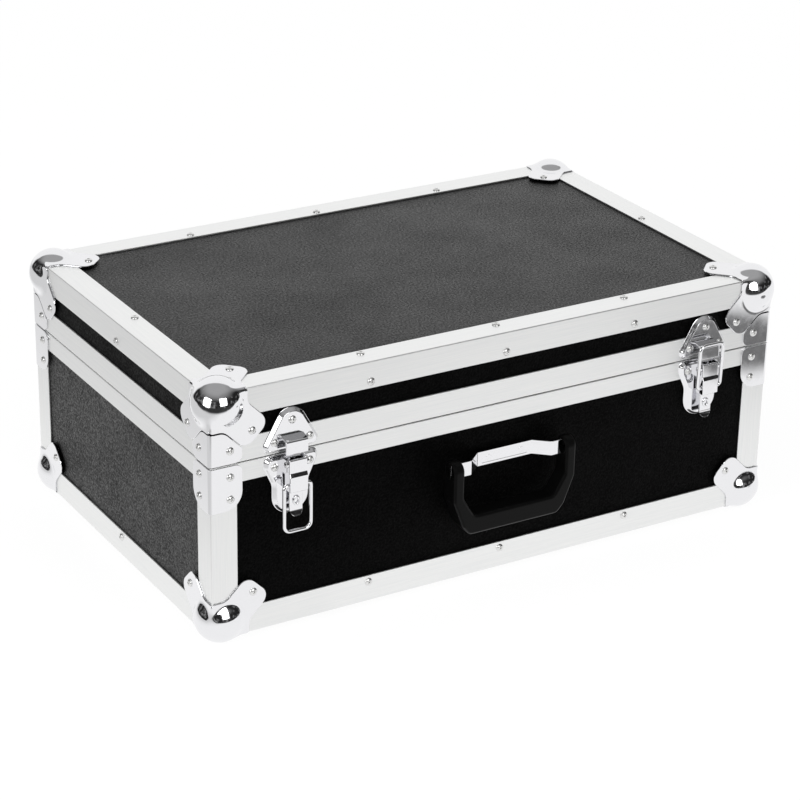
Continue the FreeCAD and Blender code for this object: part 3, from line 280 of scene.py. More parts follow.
def mitred(name, side, section, level, upwards, square_end):
    """A length of a (depth, height, radius) section along one side, cut to 45 degrees at both ends.

    With square_end its points are also cut off square, that far in from the corners.
    """
    (x, y), along, inward, reach = SIDE_RUNS[side]
    start = Vector((x, y, level))
    along = Vector(along)
    inward = Vector(inward)
    corners = [(start + inward * depth + Vector((0, 0, upwards * height)), radius)
               for depth, height, radius in section]
    bar = thicken(outline(name, corners, -along), along * reach)
    far = start + along * reach
    cuts = [(start, along - inward), (far, -along - inward)]
    if square_end:
        cuts += [(start + along * square_end, along), (far - along * square_end, -along)]
    for point, normal in cuts:
        slice_through(bar, point, normal, use_fill=True, clear_inner=True)
    return bar


# The sheet's thickness, the angles' width, and the closing profiles' inner face and lip
WALL = 1.5
FLANGE = 22
RIM_SKIN = 8.5
RIM_LIP = 10
TRAY_RIM_TALL = 15.75
LID_RIM_TALL = 19.45
SQUARE_END = 7
ANGLE = [(0, 0, 0.9), (FLANGE, 0, 0.4), (FLANGE, WALL, 0.4),
         (WALL, WALL, 0.5), (WALL, FLANGE, 0.4), (0, FLANGE, 0.4)]
TRAY_RIM = [(0, TRAY_RIM_TALL, 0.4), (0, 0, 0.7), (4, 0, 0.3), (4, -4, 0.5), (6, -4, 0.5), (6, 0, 0.3),
            (RIM_LIP, 0, 0.7), (RIM_LIP, 11, 0.4), (RIM_SKIN, 11, 0.4), (RIM_SKIN, WALL, 0.3),
            (WALL, WALL, 0.3), (WALL, TRAY_RIM_TALL, 0.4)]
LID_RIM = [(0, 0, 0.7), (0, LID_RIM_TALL, 0.4), (WALL, LID_RIM_TALL, 0.4), (WALL, 6.5, 0.3),
           (RIM_SKIN, 6.5, 0.3), (RIM_SKIN, 11, 0.4), (RIM_LIP, 11, 0.4), (RIM_LIP, 0, 0.7),
           (RIM_SKIN, 0, 0.4), (RIM_SKIN, 5, 0.4), (WALL, 5, 0.4), (WALL, 0, 0.7)]
for side in SIDES:
    metal = brushed_along["x" if side in ("front", "back") else "y"]
    lower = mitred(f"bottom extrusion {side}", side, ANGLE, FOOT, 1, SQUARE_END)
    seat(lower, metal, "extrusion", "tray", f"bottom_edge_{side}")
    upper = mitred(f"top extrusion {side}", side, ANGLE, TOP, -1, SQUARE_END)
    seat(upper, metal, "extrusion", "lid", f"lid_edge_{side}")
    tongue = mitred(f"tray closing profile {side}", side, TRAY_RIM, SEAM - SEAM_GAP / 2, -1, 0)
    seat(tongue, metal, "extrusion", "tray", f"base_rim_{side}")
    groove = mitred(f"lid closing profile {side}", side, LID_RIM, SEAM + SEAM_GAP / 2, 1, 0)
    seat(groove, metal, "extrusion", "lid", f"lid_rim_{side}")

post_tall = SEAM - SEAM_GAP / 2 - TRAY_RIM_TALL - FOOT - FLANGE
for end, side, (x, y), (inward_x, inward_y) in CORNERS:
    corners = [(Vector((x + inward_x * first, y + inward_y * second, FOOT + FLANGE)), radius)
               for first, second, radius in ANGLE]
    post = thicken(outline(f"corner post {end} {side}", corners, (0, 0, -1)), (0, 0, post_tall))
    seat(post, brushed_along["z"], "extrusion", "tray", f"post_{end}_{side}")


# Ball corners
# One blank of 1.2 mm steel pressed into a 40 mm ball with three lobes, then bright chrome plated.
# One corner is shaped from a single lobe turned three ways, and the eight are copies of it.

# Bright chrome plate: a mirror over pressed steel, with the faint ripple that pressing leaves
chrome, tree, shader = surface("bright chrome plate", {"Base Color": linear("#ececee"), "Metallic": 1.0})
place = add(tree, "ShaderNodeTexCoord", {})
ripple = add(tree, "ShaderNodeTexNoise", {"Scale": grains(12), "Detail": 1.0},
             [("Vector", place.outputs["Object"])])
handling = add(tree, "ShaderNodeTexNoise", {"Scale": grains(6), "Detail": 6.0, "Roughness": 0.7},
               [("Vector", place.outputs["Object"])])
gloss = add(tree, "ShaderNodeMapRange",
            {"From Min": 0.35, "From Max": 0.75, "To Min": 0.05, "To Max": 0.14},
            [("Value", handling.outputs["Fac"])])
waves = add(tree, "ShaderNodeBump", {"Strength": 0.05, "Distance": 0.2 * MM},
            [("Height", ripple.outputs["Fac"])])
tree.links.new(gloss.outputs["Result"], shader.inputs["Roughness"])
tree.links.new(waves.outputs["Normal"], shader.inputs["Normal"])

# The ball's radius, how far in from each face its middle lies, and the pressed sheet
BALL = 20
INSET = 12.5
SHEET = 1.2

# One lobe's outline as (across, along, radius), out from the case's corner
REACH = 31
LOBE = [(-SHEET, -SHEET, 0), (REACH, -SHEET, 0.8), (REACH, 11.2, 10), (49.0, 29.2, 9),
        (29.2, 49.0, 9), (11.2, REACH, 10), (-SHEET, REACH, 0.8)]

# The lobes' fold radius, how widely they blend into the ball, and where their shared tip is cut off
FOLD = 3.2
BLEND = 2.6
TIP = 16.5


def pressed(point):
    """Where the ray from the ball's middle through a point meets the ball blended into the lobes."""
    middle = Vector((INSET, INSET, INSET))
    way = (point - middle).normalized()
    near, far = 0.0, 80.0
    for halving in range(34):
        reach = (near + far) / 2
        spot = middle + way * reach
        out = [FOLD - SHEET - value for value in spot]
        lobes = Vector([max(value, 0) for value in out]).length + min(max(out), 0) - FOLD
        lobes = max(lobes, (3 * INSET - sum(spot)) / math.sqrt(3) - TIP)
        ball = reach - BALL
        share = min(max(0.5 + 0.5 * (lobes - ball) / BLEND, 0), 1)
        if lobes * (1 - share) + ball * share - BLEND * share * (1 - share) < 0:
            near = reach
        else:
            far = reach
    return middle + way * near


def twin(piece):
    """A copy of a piece with a mesh of its own."""
    copy = piece.copy()
    copy.data = piece.data.copy()
    bpy.context.collection.objects.link(copy)
    return copy


def joined(pieces):
    """Several pieces as one object, the first."""
    bpy.ops.object.select_all(action="DESELECT")
    for piece in pieces:
        piece.select_set(True)
    bpy.context.view_layer.objects.active = pieces[0]
    bpy.ops.object.join()
    return pieces[0]


corners = [(Vector((across, -SHEET, along)), radius) for across, along, radius in LOBE]
lobe = outline("ball corner", corners, (0, -1, 0))
select(lobe, "FACE", lambda face: True)
bpy.ops.mesh.delete(type="ONLY_FACE")
bpy.ops.object.mode_set(mode="OBJECT")


def span(edge):
    """How long one of the lobe's edges is, in millimetres."""
    ends = [lobe.data.vertices[index].co for index in edge.vertices]
    return (ends[0] - ends[1]).length / MM


# The outline is cut up finely, then drawn in ring by ring to its middle.
for longest, cuts in ((20, 31), (4, 7)):
    select(lobe, "EDGE", lambda edge: span(edge) > longest)
    bpy.ops.mesh.subdivide(number_cuts=cuts)
    bpy.ops.object.mode_set(mode="OBJECT")
RINGS = 30
centre = Vector((INSET, -SHEET, INSET)) * MM
select(lobe, "EDGE", lambda edge: True)
for ring in range(RINGS, 1, -1):
    shrink = (ring - 1) / ring
    bpy.ops.mesh.extrude_region_move()
    bpy.ops.transform.resize(value=(shrink, shrink, shrink), center_override=centre)
bpy.ops.mesh.merge(type="CENTER")
bpy.ops.mesh.select_all(action="SELECT")
bpy.ops.mesh.normals_make_consistent(inside=False)
bpy.ops.object.mode_set(mode="OBJECT")
if lobe.data.polygons[0].normal.y > 0:
    lobe.data.flip_normals()

# Three lobes, each turned to its own face of the corner, are pressed to shape as one sheet.
turned = [lobe]
for turn in (1, 2):
    third = twin(lobe)
    for vertex in third.data.vertices:
        vertex.co = Vector([vertex.co[(axis - turn) % 3] for axis in range(3)])
    turned.append(third)
joined(turned)
select(lobe, "VERT", lambda vertex: True)
bpy.ops.mesh.remove_doubles(threshold=0.01 * MM)
bpy.ops.object.mode_set(mode="OBJECT")
for vertex in lobe.data.vertices:
    vertex.co = pressed(vertex.co / MM) * MM

# The sheet's edge is rolled in by RIM_ROLL all round before it gets its thickness.
RIM_ROLL = 0.35
select(lobe, "FACE", lambda face: True)
bpy.ops.mesh.inset(thickness=RIM_ROLL * MM, use_boundary=True)
bpy.ops.mesh.select_mode(type="VERT")
bpy.ops.mesh.select_all(action="DESELECT")
bpy.ops.mesh.select_non_manifold()
bpy.ops.transform.shrink_fatten(value=-RIM_ROLL * MM)
bpy.ops.object.mode_set(mode="OBJECT")
modify(lobe, "SOLIDIFY", thickness=SHEET * MM, offset=-1)


def copied(piece, name, origin, signs):
    """A copy of a piece shaped about a corner of its own, set at a corner of the case."""
    copy = twin(piece)
    copy.name = name
    for vertex in copy.data.vertices:
        vertex.co = Vector([start * MM + sign * value
                            for start, sign, value in zip(origin, signs, vertex.co)])
    if math.prod(signs) < 0:
        copy.data.flip_normals()
    return copy


for end, side, spot, inward in CORNERS:
    lower = copied(lobe, f"lower ball corner {end} {side}", (*spot, FOOT), (*inward, 1))
    seat(lower, chrome, "corner_steel", "tray", f"base_ball_{end}_{side}")
    upper = copied(lobe, f"upper ball corner {end} {side}", (*spot, TOP), (*inward, -1))
    seat(upper, chrome, "corner_steel", "lid", f"lid_ball_{end}_{side}")
bpy.data.objects.remove(lobe)


# Corner braces
# Chrome-plated steel sheet folded round the upright corners above and below the seam.
# Each is cut flat, its fold is rolled into it, and it is copied to the four corners.

FOLD_STEPS = 4


def softened(piece, width, segments=2):
    """Round a piece's sharp edges over a width in millimetres."""
    return modify(piece, "BEVEL", width=width * MM, segments=segments, limit_method="ANGLE",
                  angle_limit=math.radians(50))


def folded(name, half_outline):
    """A sheet cut from half an outline mirrored about the fold, then bent round the corner."""
    half_fold = FOLD * math.pi / 4
    flat_run = FOLD - SHEET
    right_half = [(Vector((across + half_fold - flat_run, 0, height)), radius)
                  for across, height, radius in half_outline]
    left_half = [(Vector((-point.x, 0, point.z)), radius) for point, radius in reversed(right_half)]
    sheet = outline(name, right_half + left_half, (0, -1, 0))
    for step in range(-FOLD_STEPS, FOLD_STEPS + 1):
        slice_through(sheet, (half_fold * step / FOLD_STEPS, 0, 0), (1, 0, 0))
    for vertex in sheet.data.vertices:
        along = vertex.co.x / MM
        angle = max(min(along / FOLD, math.pi / 4), -math.pi / 4)
        straight = along - angle * FOLD
        bend = Vector((flat_run - FOLD * math.cos(angle + math.pi / 4),
                       flat_run - FOLD * math.sin(angle + math.pi / 4)))
        bend += Vector((straight, 0)) if straight > 0 else Vector((0, -straight))
        vertex.co = Vector((bend.x * MM, bend.y * MM, vertex.co.z))
    modify(sheet, "SOLIDIFY", thickness=SHEET * MM, offset=-1)
    return softened(sheet, 0.3)


BRACE_LEG = 26
tray_brace = folded("tray brace", [
    (BRACE_LEG, SEAM - 37.3, 15),
    (BRACE_LEG, SEAM - 0.8, 6),
])
lid_brace = folded("lid brace", [
    (BRACE_LEG, SEAM + 0.8, 6),
    (BRACE_LEG, TOP - 46.6, 1),
    (11.2, TOP - 31.8, 9.2),
])
for brace, body, node in ((tray_brace, "tray", "base_braces"), (lid_brace, "lid", "lid_braces")):
    for end, side, spot, inward in CORNERS:
        copy = copied(brace, f"{brace.name} {end} {side}", (*spot, 0), (*inward, 1))
        seat(copy, chrome, "corner_steel", body, node)
    bpy.data.objects.remove(brace)


# Pop rivets
# Bright aluminium domes 6.4 mm across, each with the hole where its steel nail snapped off.
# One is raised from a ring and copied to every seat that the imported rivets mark.

# Bright aluminium: polished by the setting tool, softer than chrome
rivet_metal, tree, shader = surface("bright aluminium", {"Base Color": linear("#e4e4e3"), "Metallic": 1.0})
place = add(tree, "ShaderNodeTexCoord", {})
marks = add(tree, "ShaderNodeTexNoise", {"Scale": grains(1.5), "Detail": 2.0},
            [("Vector", place.outputs["Object"])])
gloss = add(tree, "ShaderNodeMapRange", {"To Min": 0.22, "To Max": 0.4}, [("Value", marks.outputs["Fac"])])
tree.links.new(gloss.outputs["Result"], shader.inputs["Roughness"])

# The dome's profile as (radius, height), up its side and down into the hole
DOME = [(3.2, 0.0), (3.2, 0.25), (2.95, 0.75), (2.3, 1.2), (1.5, 1.45), (1.0, 1.5), (0.85, 0.4)]
bpy.ops.object.select_all(action="DESELECT")
bpy.ops.mesh.primitive_circle_add(vertices=14, radius=DOME[0][0] * MM, fill_type="NOTHING")
rivet = bpy.context.object
select(rivet, "EDGE", lambda edge: True)
for (wide, low), (narrow, high) in zip(DOME, DOME[1:]):
    bpy.ops.mesh.extrude_region_move(TRANSFORM_OT_translate={"value": (0, 0, (high - low) * MM)})
    bpy.ops.transform.resize(value=(narrow / wide, narrow / wide, 1))
bpy.ops.mesh.edge_face_add()
bpy.ops.object.mode_set(mode="OBJECT")
select(rivet, "VERT", lambda vertex: vertex.co.z < 0.01 * MM)
bpy.ops.mesh.edge_face_add()
bpy.ops.mesh.select_all(action="SELECT")
bpy.ops.mesh.normals_make_consistent(inside=False)
bpy.ops.object.mode_set(mode="OBJECT")
case_middle = Vector((0, MIDDLE, (FOOT + TOP) / 2)) * MM


def rivet_seats(node):
    """The foot and the outward way of each rivet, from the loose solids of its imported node."""
    packed = twin(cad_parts[node])
    bpy.ops.object.select_all(action="DESELECT")
    packed.select_set(True)
    select(packed, "VERT", lambda vertex: True)
    bpy.ops.mesh.remove_doubles(threshold=0.01 * MM)
    bpy.ops.mesh.separate(type="LOOSE")
    bpy.ops.object.mode_set(mode="OBJECT")
    seats = []
    for solid in list(bpy.context.selected_objects):
        spots = [vertex.co for vertex in solid.data.vertices]
        low = Vector([min(spot[axis] for spot in spots) for axis in range(3)])
        high = Vector([max(spot[axis] for spot in spots) for axis in range(3)])
        thin = min(range(3), key=lambda axis: high[axis] - low[axis])
        foot = (low + high) / 2
        outwards = 1 if foot[thin] > case_middle[thin] else -1
        foot[thin] = low[thin] if outwards > 0 else high[thin]
        way = Vector([outwards if axis == thin else 0 for axis in range(3)])
        seats.append((foot, way))
        bpy.data.objects.remove(solid)
    return seats


for body, node in (("tray", "base_rivets"), ("lid", "lid_rivets")):
    domes = []
    for foot, way in rivet_seats(node):
        dome = twin(rivet)
        dome.data.transform(Matrix.Translation(foot) @ way.to_track_quat("Z", "Y").to_matrix().to_4x4())
        domes.append(dome)
    rivets = joined(domes)
    rivets.name = f"pop rivets {body}"
    seat(rivets, rivet_metal, "rivet", body, node)
bpy.data.objects.remove(rivet)


# Foam lining
# Charcoal open-cell polyether foam: flat sheets in the tray, an egg-crate sheet in the lid.
# The sheets are cut with square edges that soften slightly, and are glued to the ply.

# Open-cell foam: matt charcoal with cells about 1.2 mm across
foam, tree, shader = surface("open-cell foam", {"Roughness": 0.95, "Sheen Weight": 0.3})
place = add(tree, "ShaderNodeTexCoord", {})
cells = add(tree, "ShaderNodeTexVoronoi", {"Scale": grains(1.2)}, [("Vector", place.outputs["Object"])])
shade = add(tree, "ShaderNodeValToRGB", {"stops": [(0.1, linear("#26262a")), (0.8, linear("#3b3b40"))]},
            [("Fac", cells.outputs["Distance"])])
pores = add(tree, "ShaderNodeBump", {"Strength": 0.6, "Distance": 0.3 * MM},
            [("Height", cells.outputs["Distance"])])
tree.links.new(shade.outputs["Color"], shader.inputs["Base Color"])
tree.links.new(pores.outputs["Normal"], shader.inputs["Normal"])

WALL_FOAM = 9.7
FOAM_GAP = 0.2
EGG_PITCH = 30
EGG_DEPTH = 12


def foam_sheet(name, low, high):
    """A foam sheet between two corners in metres, its edges slightly softened."""
    size = Vector(high) - Vector(low)
    bpy.ops.object.select_all(action="DESELECT")
    bpy.ops.mesh.primitive_cube_add(size=1, location=(Vector(low) + Vector(high)) / 2, scale=size)
    sheet = bpy.context.object
    sheet.name = name
    bpy.ops.object.transform_apply(location=True, rotation=False, scale=True)
    return modify(sheet, "BEVEL", width=1.6 * MM, segments=3)


low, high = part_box("floor_foam")
floor_sheet = foam_sheet("floor foam", low, high)
seat(floor_sheet, foam, "foam", "tray", "floor_foam")
low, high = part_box("wall_foam")
thick = WALL_FOAM * MM
start_y = low[1] + thick + FOAM_GAP * MM
stop_y = high[1] - thick - FOAM_GAP * MM
walls = {
    "front": (low, (high[0], low[1] + thick, high[2])),
    "back": ((low[0], high[1] - thick, low[2]), high),
    "left": ((low[0], start_y, low[2]), (low[0] + thick, stop_y, high[2])),
    "right": ((high[0] - thick, start_y, low[2]), (high[0], stop_y, high[2])),
}
for side, (start, stop) in walls.items():
    strip = foam_sheet(f"wall foam {side}", start, stop)
    seat(strip, foam, "foam", "tray", "wall_foam")

low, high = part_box("lid_foam")
size = Vector(high) - Vector(low)
bpy.ops.object.select_all(action="DESELECT")
bpy.ops.mesh.primitive_grid_add(x_subdivisions=160, y_subdivisions=98, size=1,
                                location=((low[0] + high[0]) / 2, (low[1] + high[1]) / 2, low[2]))
crate = bpy.context.object
crate.scale = (size[0], size[1], 1)
crate.name = "egg-crate foam"
bpy.ops.object.transform_apply(location=True, rotation=False, scale=True)
thicken(crate, (0, 0, size[2] / MM))
for vertex in crate.data.vertices:
    if vertex.co.z < low[2] + 1e-6:
        swell = math.cos(2 * math.pi * vertex.co.x / (EGG_PITCH * MM))
        swell *= math.cos(2 * math.pi * (vertex.co.y - MIDDLE * MM) / (EGG_PITCH * MM))
        vertex.co.z += EGG_DEPTH * MM * (1 - swell) / 2
seat(crate, foam, "foam", "lid", "lid_foam")


# Hinges
# Two zinc-plated butt hinges riveted across the seam at the back, each with three knuckles.
# The leaves lie on the closing profiles, and a steel pin runs through the knuckles.

# Bright zinc plate: bluish metal, duller than chrome
zinc, tree, shader = surface("bright zinc plate", {"Base Color": linear("#d4d7da"), "Metallic": 1.0})
place = add(tree, "ShaderNodeTexCoord", {})
bloom = add(tree, "ShaderNodeTexNoise", {"Scale": grains(4), "Detail": 4.0},
            [("Vector", place.outputs["Object"])])
gloss = add(tree, "ShaderNodeMapRange", {"To Min": 0.18, "To Max": 0.36}, [("Value", bloom.outputs["Fac"])])
tree.links.new(gloss.outputs["Result"], shader.inputs["Roughness"])

KNUCKLE = 3
PIN = 1.5
PIN_Y = BACK + 3.2
HINGE_HALF = 30
MIDDLE_HALF = 10
PLAY = 0.2
LEAF_TALL = 15
RELIEF = 3.5

# The leaves' outlines as (across, height from the seam): each is cut back beside the other's knuckles
notch = MIDDLE_HALF + PLAY
TRAY_LEAF = [(notch, 0), (notch, RELIEF), (-notch, RELIEF), (-notch, 0),
             (-HINGE_HALF, 0), (-HINGE_HALF, LEAF_TALL), (HINGE_HALF, LEAF_TALL), (HINGE_HALF, 0)]
LID_LEAF = [(-MIDDLE_HALF, 0), (-MIDDLE_HALF, RELIEF), (-HINGE_HALF, RELIEF), (-HINGE_HALF, LEAF_TALL),
            (HINGE_HALF, LEAF_TALL), (HINGE_HALF, RELIEF), (MIDDLE_HALF, RELIEF), (MIDDLE_HALF, 0)]


def round_bar(name, start, way, radius, length, soft):
    """A round bar along +X or outwards along -Y from its start, with softened ends."""
    turn = (0, math.pi / 2, 0) if way == "x" else (math.pi / 2, 0, 0)
    middle = Vector(start) + Vector((length / 2, 0, 0) if way == "x" else (0, -length / 2, 0))
    bpy.ops.object.select_all(action="DESELECT")
    bpy.ops.mesh.primitive_cylinder_add(vertices=32, radius=radius * MM, depth=length * MM,
                                        location=middle * MM, rotation=turn)
    bar = bpy.context.object
    bar.name = name
    bpy.ops.object.transform_apply(location=True, rotation=True, scale=False)
    return softened(bar, soft, 3)


tray_hinge = []
lid_hinge = []
pins = []
for middle in (-150, 150):
    for sign, steps, leaves in ((-1, TRAY_LEAF, tray_hinge), (1, LID_LEAF, lid_hinge)):
        corners = [(Vector((middle + across, BACK, SEAM + sign * height)),
                    2.5 if height == LEAF_TALL else 0) for across, height in steps]
        leaf = thicken(outline("hinge leaf", corners, (0, -1, 0)), (0, WALL, 0))
        leaves.append(softened(leaf, 0.25))
    outer = HINGE_HALF - notch
    for start, length, leaves in ((-HINGE_HALF, outer, tray_hinge), (notch, outer, tray_hinge),
                                  (-MIDDLE_HALF, 2 * MIDDLE_HALF, lid_hinge)):
        leaves.append(round_bar("hinge knuckle", (middle + start, PIN_Y, SEAM), "x", KNUCKLE, length, 0.3))
    pins.append(round_bar("hinge pin", (middle - HINGE_HALF, PIN_Y, SEAM), "x", PIN, 2 * HINGE_HALF, 0.3))
seat(joined(tray_hinge), zinc, "hinge_steel", "tray", "hinge_base_leaves")
seat(joined(lid_hinge), zinc, "hinge_steel", "lid", "hinge_lid_leaves")
seat(joined(pins), zinc, "pin_steel", "tray", "hinge_pins")


# Catches
# The lid's half of each toggle latch: a dished triangle of chromed steel with a hook folded out.
# The dish is raised in steps from its outline, and the hook is drawn from its side view.

# Each latch's middle is this far in from the case's side.
LATCH_IN = 66.5
LATCHES = (("left", LEFT + LATCH_IN), ("right", RIGHT - LATCH_IN))

# How far a plate is dished, over what width, and the shares of it at each step of the flank
DISH = 3.2
DISH_RUN = 2.9
PRESS_SHARES = (0, 0.06, 0.2, 0.35, 0.5, 0.65, 0.8, 0.94, 1)

# The catch as (across, height above the seam, radius); the hook as (standoff, drop, radius)
CATCH = [(-26.8, 2, 5.5), (26.8, 2, 5.5), (7.7, 36, 12.8), (-7.7, 36, 12.8)]
HOOK_OUT = 11.2
HOOK_HALF = 9.3
HOOK = [(2.6, -15.5, 0), (HOOK_OUT, -13.2, 1.5), (HOOK_OUT, -2.5, 0),
        (9.7, -2.5, 0), (9.7, -11.9, 0.6), (2.6, -14.0, 0)]


def dished(name, middle, corners):
    """A pressed plate on the front face: smooth flanks up to a raised flat, hollow behind."""
    points = [(Vector((middle + across, FRONT, SEAM + rise)), radius) for across, rise, radius in corners]
    plate = outline(name, points, (0, -1, 0))
    select(plate, "FACE", lambda face: True)
    step_run = DISH_RUN / (len(PRESS_SHARES) - 1)
    for lower, upper in zip(PRESS_SHARES, PRESS_SHARES[1:]):
        bpy.ops.mesh.inset(thickness=step_run * MM, depth=DISH * (upper - lower) * MM)
    bpy.ops.object.mode_set(mode="OBJECT")
    return modify(plate, "SOLIDIFY", thickness=SHEET * MM, offset=-1)


def side_cut(name, corners, low, high, soft):
    """A piece drawn across from its side view of (standoff, drop below the seam, radius) corners."""
    points = [(Vector((low, FRONT - standoff, SEAM - drop)), radius) for standoff, drop, radius in corners]
    return softened(thicken(outline(name, points, (-1, 0, 0)), (high - low, 0, 0)), soft)


for side, middle in LATCHES:
    plate = dished(f"catch {side}", middle, CATCH)
    hook = side_cut("hook", HOOK, middle - HOOK_HALF, middle + HOOK_HALF, 0.5)
    seat(joined([plate, hook]), chrome, "latch_steel", "lid", f"{side}_catch")


# Latch plates
# The tray's half of each latch: a dished plate with a round foot and two ears for the lever's pin.
# The pins are plain steel with rolled-over ends.

LATCH_PLATE = [(-22.5, -0.8, 5), (-22.5, -9.5, 8), (-15.7, -24.5, 12), (-15.7, -50, 15),
               (15.7, -50, 15), (15.7, -24.5, 12), (22.5, -9.5, 8), (22.5, -0.8, 5)]
PIVOT_OUT = 9
PIVOT_DROP = 5
EAR_HALF = 9.2
EAR_SHEET = 1.4
EAR = [(2.6, 1.6, 0), (12.4, 1.6, 3.38), (12.4, 8.4, 3.38), (9, 8.4, 0.5), (9, 13, 1.5), (2.6, 13, 0)]
lever_pins = []
for side, middle in LATCHES:
    plate = dished(f"latch plate {side}", middle, LATCH_PLATE)
    ears = [side_cut("ear", EAR, middle + low, middle + low + EAR_SHEET, 0.2)
            for low in (-EAR_HALF, EAR_HALF - EAR_SHEET)]
    seat(joined([plate, *ears]), chrome, "latch_steel", "tray", f"{side}_latch_plate")
    start = (middle - EAR_HALF, FRONT - PIVOT_OUT, SEAM - PIVOT_DROP)
    lever_pins.append(round_bar("lever pin", start, "x", 1.6, 2 * EAR_HALF, 0.3))
seat(joined(lever_pins), zinc, "pin_steel", "tray", "lever_pins")


# Levers
# A channel folded from chromed steel, stepped across its middle, with a finger tab at its foot.
# A ring on the tab takes a small padlock's shackle.

CHANNEL_HALF = 7.6
CHANNEL = [(4.75, 0.75, 4.2), (9.6, 0.75, 0.9), (13, 1.6, 1.1), (13, 12.2, 1.2),
           (14.3, 15.1, 1.2), (14.3, 27.6, 0.9), (5, 27.6, 1.5), (5, 9.2, 0)]
HOLLOW = [(1, -3, 0), (11.8, -3, 0), (11.8, 12.5, 0), (13.1, 15.4, 0), (13.1, 26.4, 0), (1, 26.4, 0)]

# The tab stands this far out, runs from the channel to its foot, and lifts away below its bend.
TAB_OUT = 9
TAB_BEND = 43
TAB_FOOT = 49
TAB_LIFT = 2
TAB = [(-5.5, 26.4, 0), (5.5, 26.4, 0), (5.5, TAB_FOOT, 5), (-5.5, TAB_FOOT, 5)]

# The ring's radius, its wire's radius, how much taller than wide it is, and its place on the tab
RING = 2.2
RING_WIRE = 0.8
RING_TALLER = 1.35
RING_OUT = 9.5
RING_DROP = 36.5
for side, middle in LATCHES:
    channel = side_cut(f"lever {side}", CHANNEL, middle - CHANNEL_HALF, middle + CHANNEL_HALF, 0.7)
    room_half = CHANNEL_HALF - SHEET
    room = side_cut("channel room", HOLLOW, middle - room_half, middle + room_half, 0.3)
    modify(channel, "BOOLEAN", operation="DIFFERENCE", object=room, solver="EXACT")
    bpy.data.objects.remove(room)
    corners = [(Vector((middle + across, FRONT - TAB_OUT, SEAM - drop)), radius)
               for across, drop, radius in TAB]
    tab = outline("finger tab", corners, (0, -1, 0))
    for drop in range(TAB_BEND, TAB_FOOT):
        slice_through(tab, (0, 0, SEAM - drop), (0, 0, 1))
    for vertex in tab.data.vertices:
        past = max(SEAM - TAB_BEND - vertex.co.z / MM, 0) / (TAB_FOOT - TAB_BEND)
        vertex.co.y -= TAB_LIFT * past ** 2 * MM
    modify(tab, "SOLIDIFY", thickness=SHEET * MM, offset=-1)
    softened(tab, 0.3)
    bpy.ops.object.select_all(action="DESELECT")
    bpy.ops.mesh.primitive_torus_add(major_segments=28, minor_segments=10, major_radius=RING * MM,
                                     minor_radius=RING_WIRE * MM, rotation=(math.pi / 2, 0, 0),
                                     location=Vector((middle, FRONT - RING_OUT, SEAM - RING_DROP)) * MM)
    ring = bpy.context.object
    bpy.ops.object.transform_apply(location=False, rotation=True, scale=False)
    ring.scale = (1, 1, RING_TALLER)
    bpy.ops.object.transform_apply(location=True, rotation=False, scale=True)
    seat(joined([channel, tab, ring]), chrome, "latch_steel", f"{side}_lever", f"{side}_lever")


# Bails
# One length of 3 mm chromed wire for each latch, bent to a loop whose ends turn in the lever.
# The left one hangs open; the right one stands up in front of its hook.

WIRE = 1.5
BAIL_OUT = 11.5
BAIL_DROP = 22.2
BAIL_HALF = 11.25
BAIL_LONG = 38

# The loop as (across, down, bend radius) from its pivot, and its room in front of the hook
BAIL = [(5, 0, 0), (BAIL_HALF, 0, 3), (BAIL_HALF, -BAIL_LONG, 5),
        (-BAIL_HALF, -BAIL_LONG, 5), (-BAIL_HALF, 0, 3), (-5, 0, 0)]
HOOK_ROOM = 0.35


def wire_loop(name, middle, lean):
    """A loop of round wire from its pivot, turned about it by an angle from straight down."""
    route = []
    for index, (across, down, bend) in enumerate(BAIL):
        here = Vector((across, down))
        if not bend:
            route.append(here)
            continue
        before = (Vector(BAIL[index - 1][:2]) - here).normalized() * bend
        after = (Vector(BAIL[index + 1][:2]) - here).normalized() * bend
        for step in range(ROUND_STEPS + 1):
            angle = math.pi / 2 * step / ROUND_STEPS
            route.append(here + before * (1 - math.sin(angle)) + after * (1 - math.cos(angle)))
    line = bpy.data.curves.new(name, "CURVE")
    line.dimensions = "3D"
    line.bevel_depth = WIRE * MM
    line.bevel_resolution = 5
    line.use_fill_caps = True
    spline = line.splines.new("POLY")
    spline.points.add(len(route) - 1)
    turn = Matrix.Rotation(lean, 4, "X")
    origin = Vector((middle, FRONT - BAIL_OUT, SEAM - BAIL_DROP))
    for point, spot in zip(spline.points, route):
        point.co = (*((origin + turn @ Vector((spot.x, 0, spot.y))) * MM), 1)
    wire = bpy.data.objects.new(name, line)
    bpy.context.collection.objects.link(wire)
    bpy.ops.object.select_all(action="DESELECT")
    wire.select_set(True)
    bpy.context.view_layer.objects.active = wire
    bpy.ops.object.convert(target="MESH")
    loop = bpy.context.object
    select(loop, "VERT", lambda vertex: True)
    bpy.ops.mesh.remove_doubles(threshold=0.01 * MM)
    bpy.ops.object.mode_set(mode="OBJECT")
    return loop


lean_out = math.asin((HOOK_OUT + HOOK_ROOM + WIRE - BAIL_OUT) / BAIL_LONG)
for (side, middle), lean in zip(LATCHES, (0, math.pi + lean_out)):
    seat(wire_loop(f"bail {side}", middle, lean), chrome, "wire", f"{side}_bail", f"{side}_bail")


# Handle strap
# A strip of chromed spring steel riveted flat to the front, its raised ends turning in the grip.
# A narrow groove is rolled along the lower edge of its middle.

STRAP_Z = SEAM - 43
STRAP_WIDE = 12

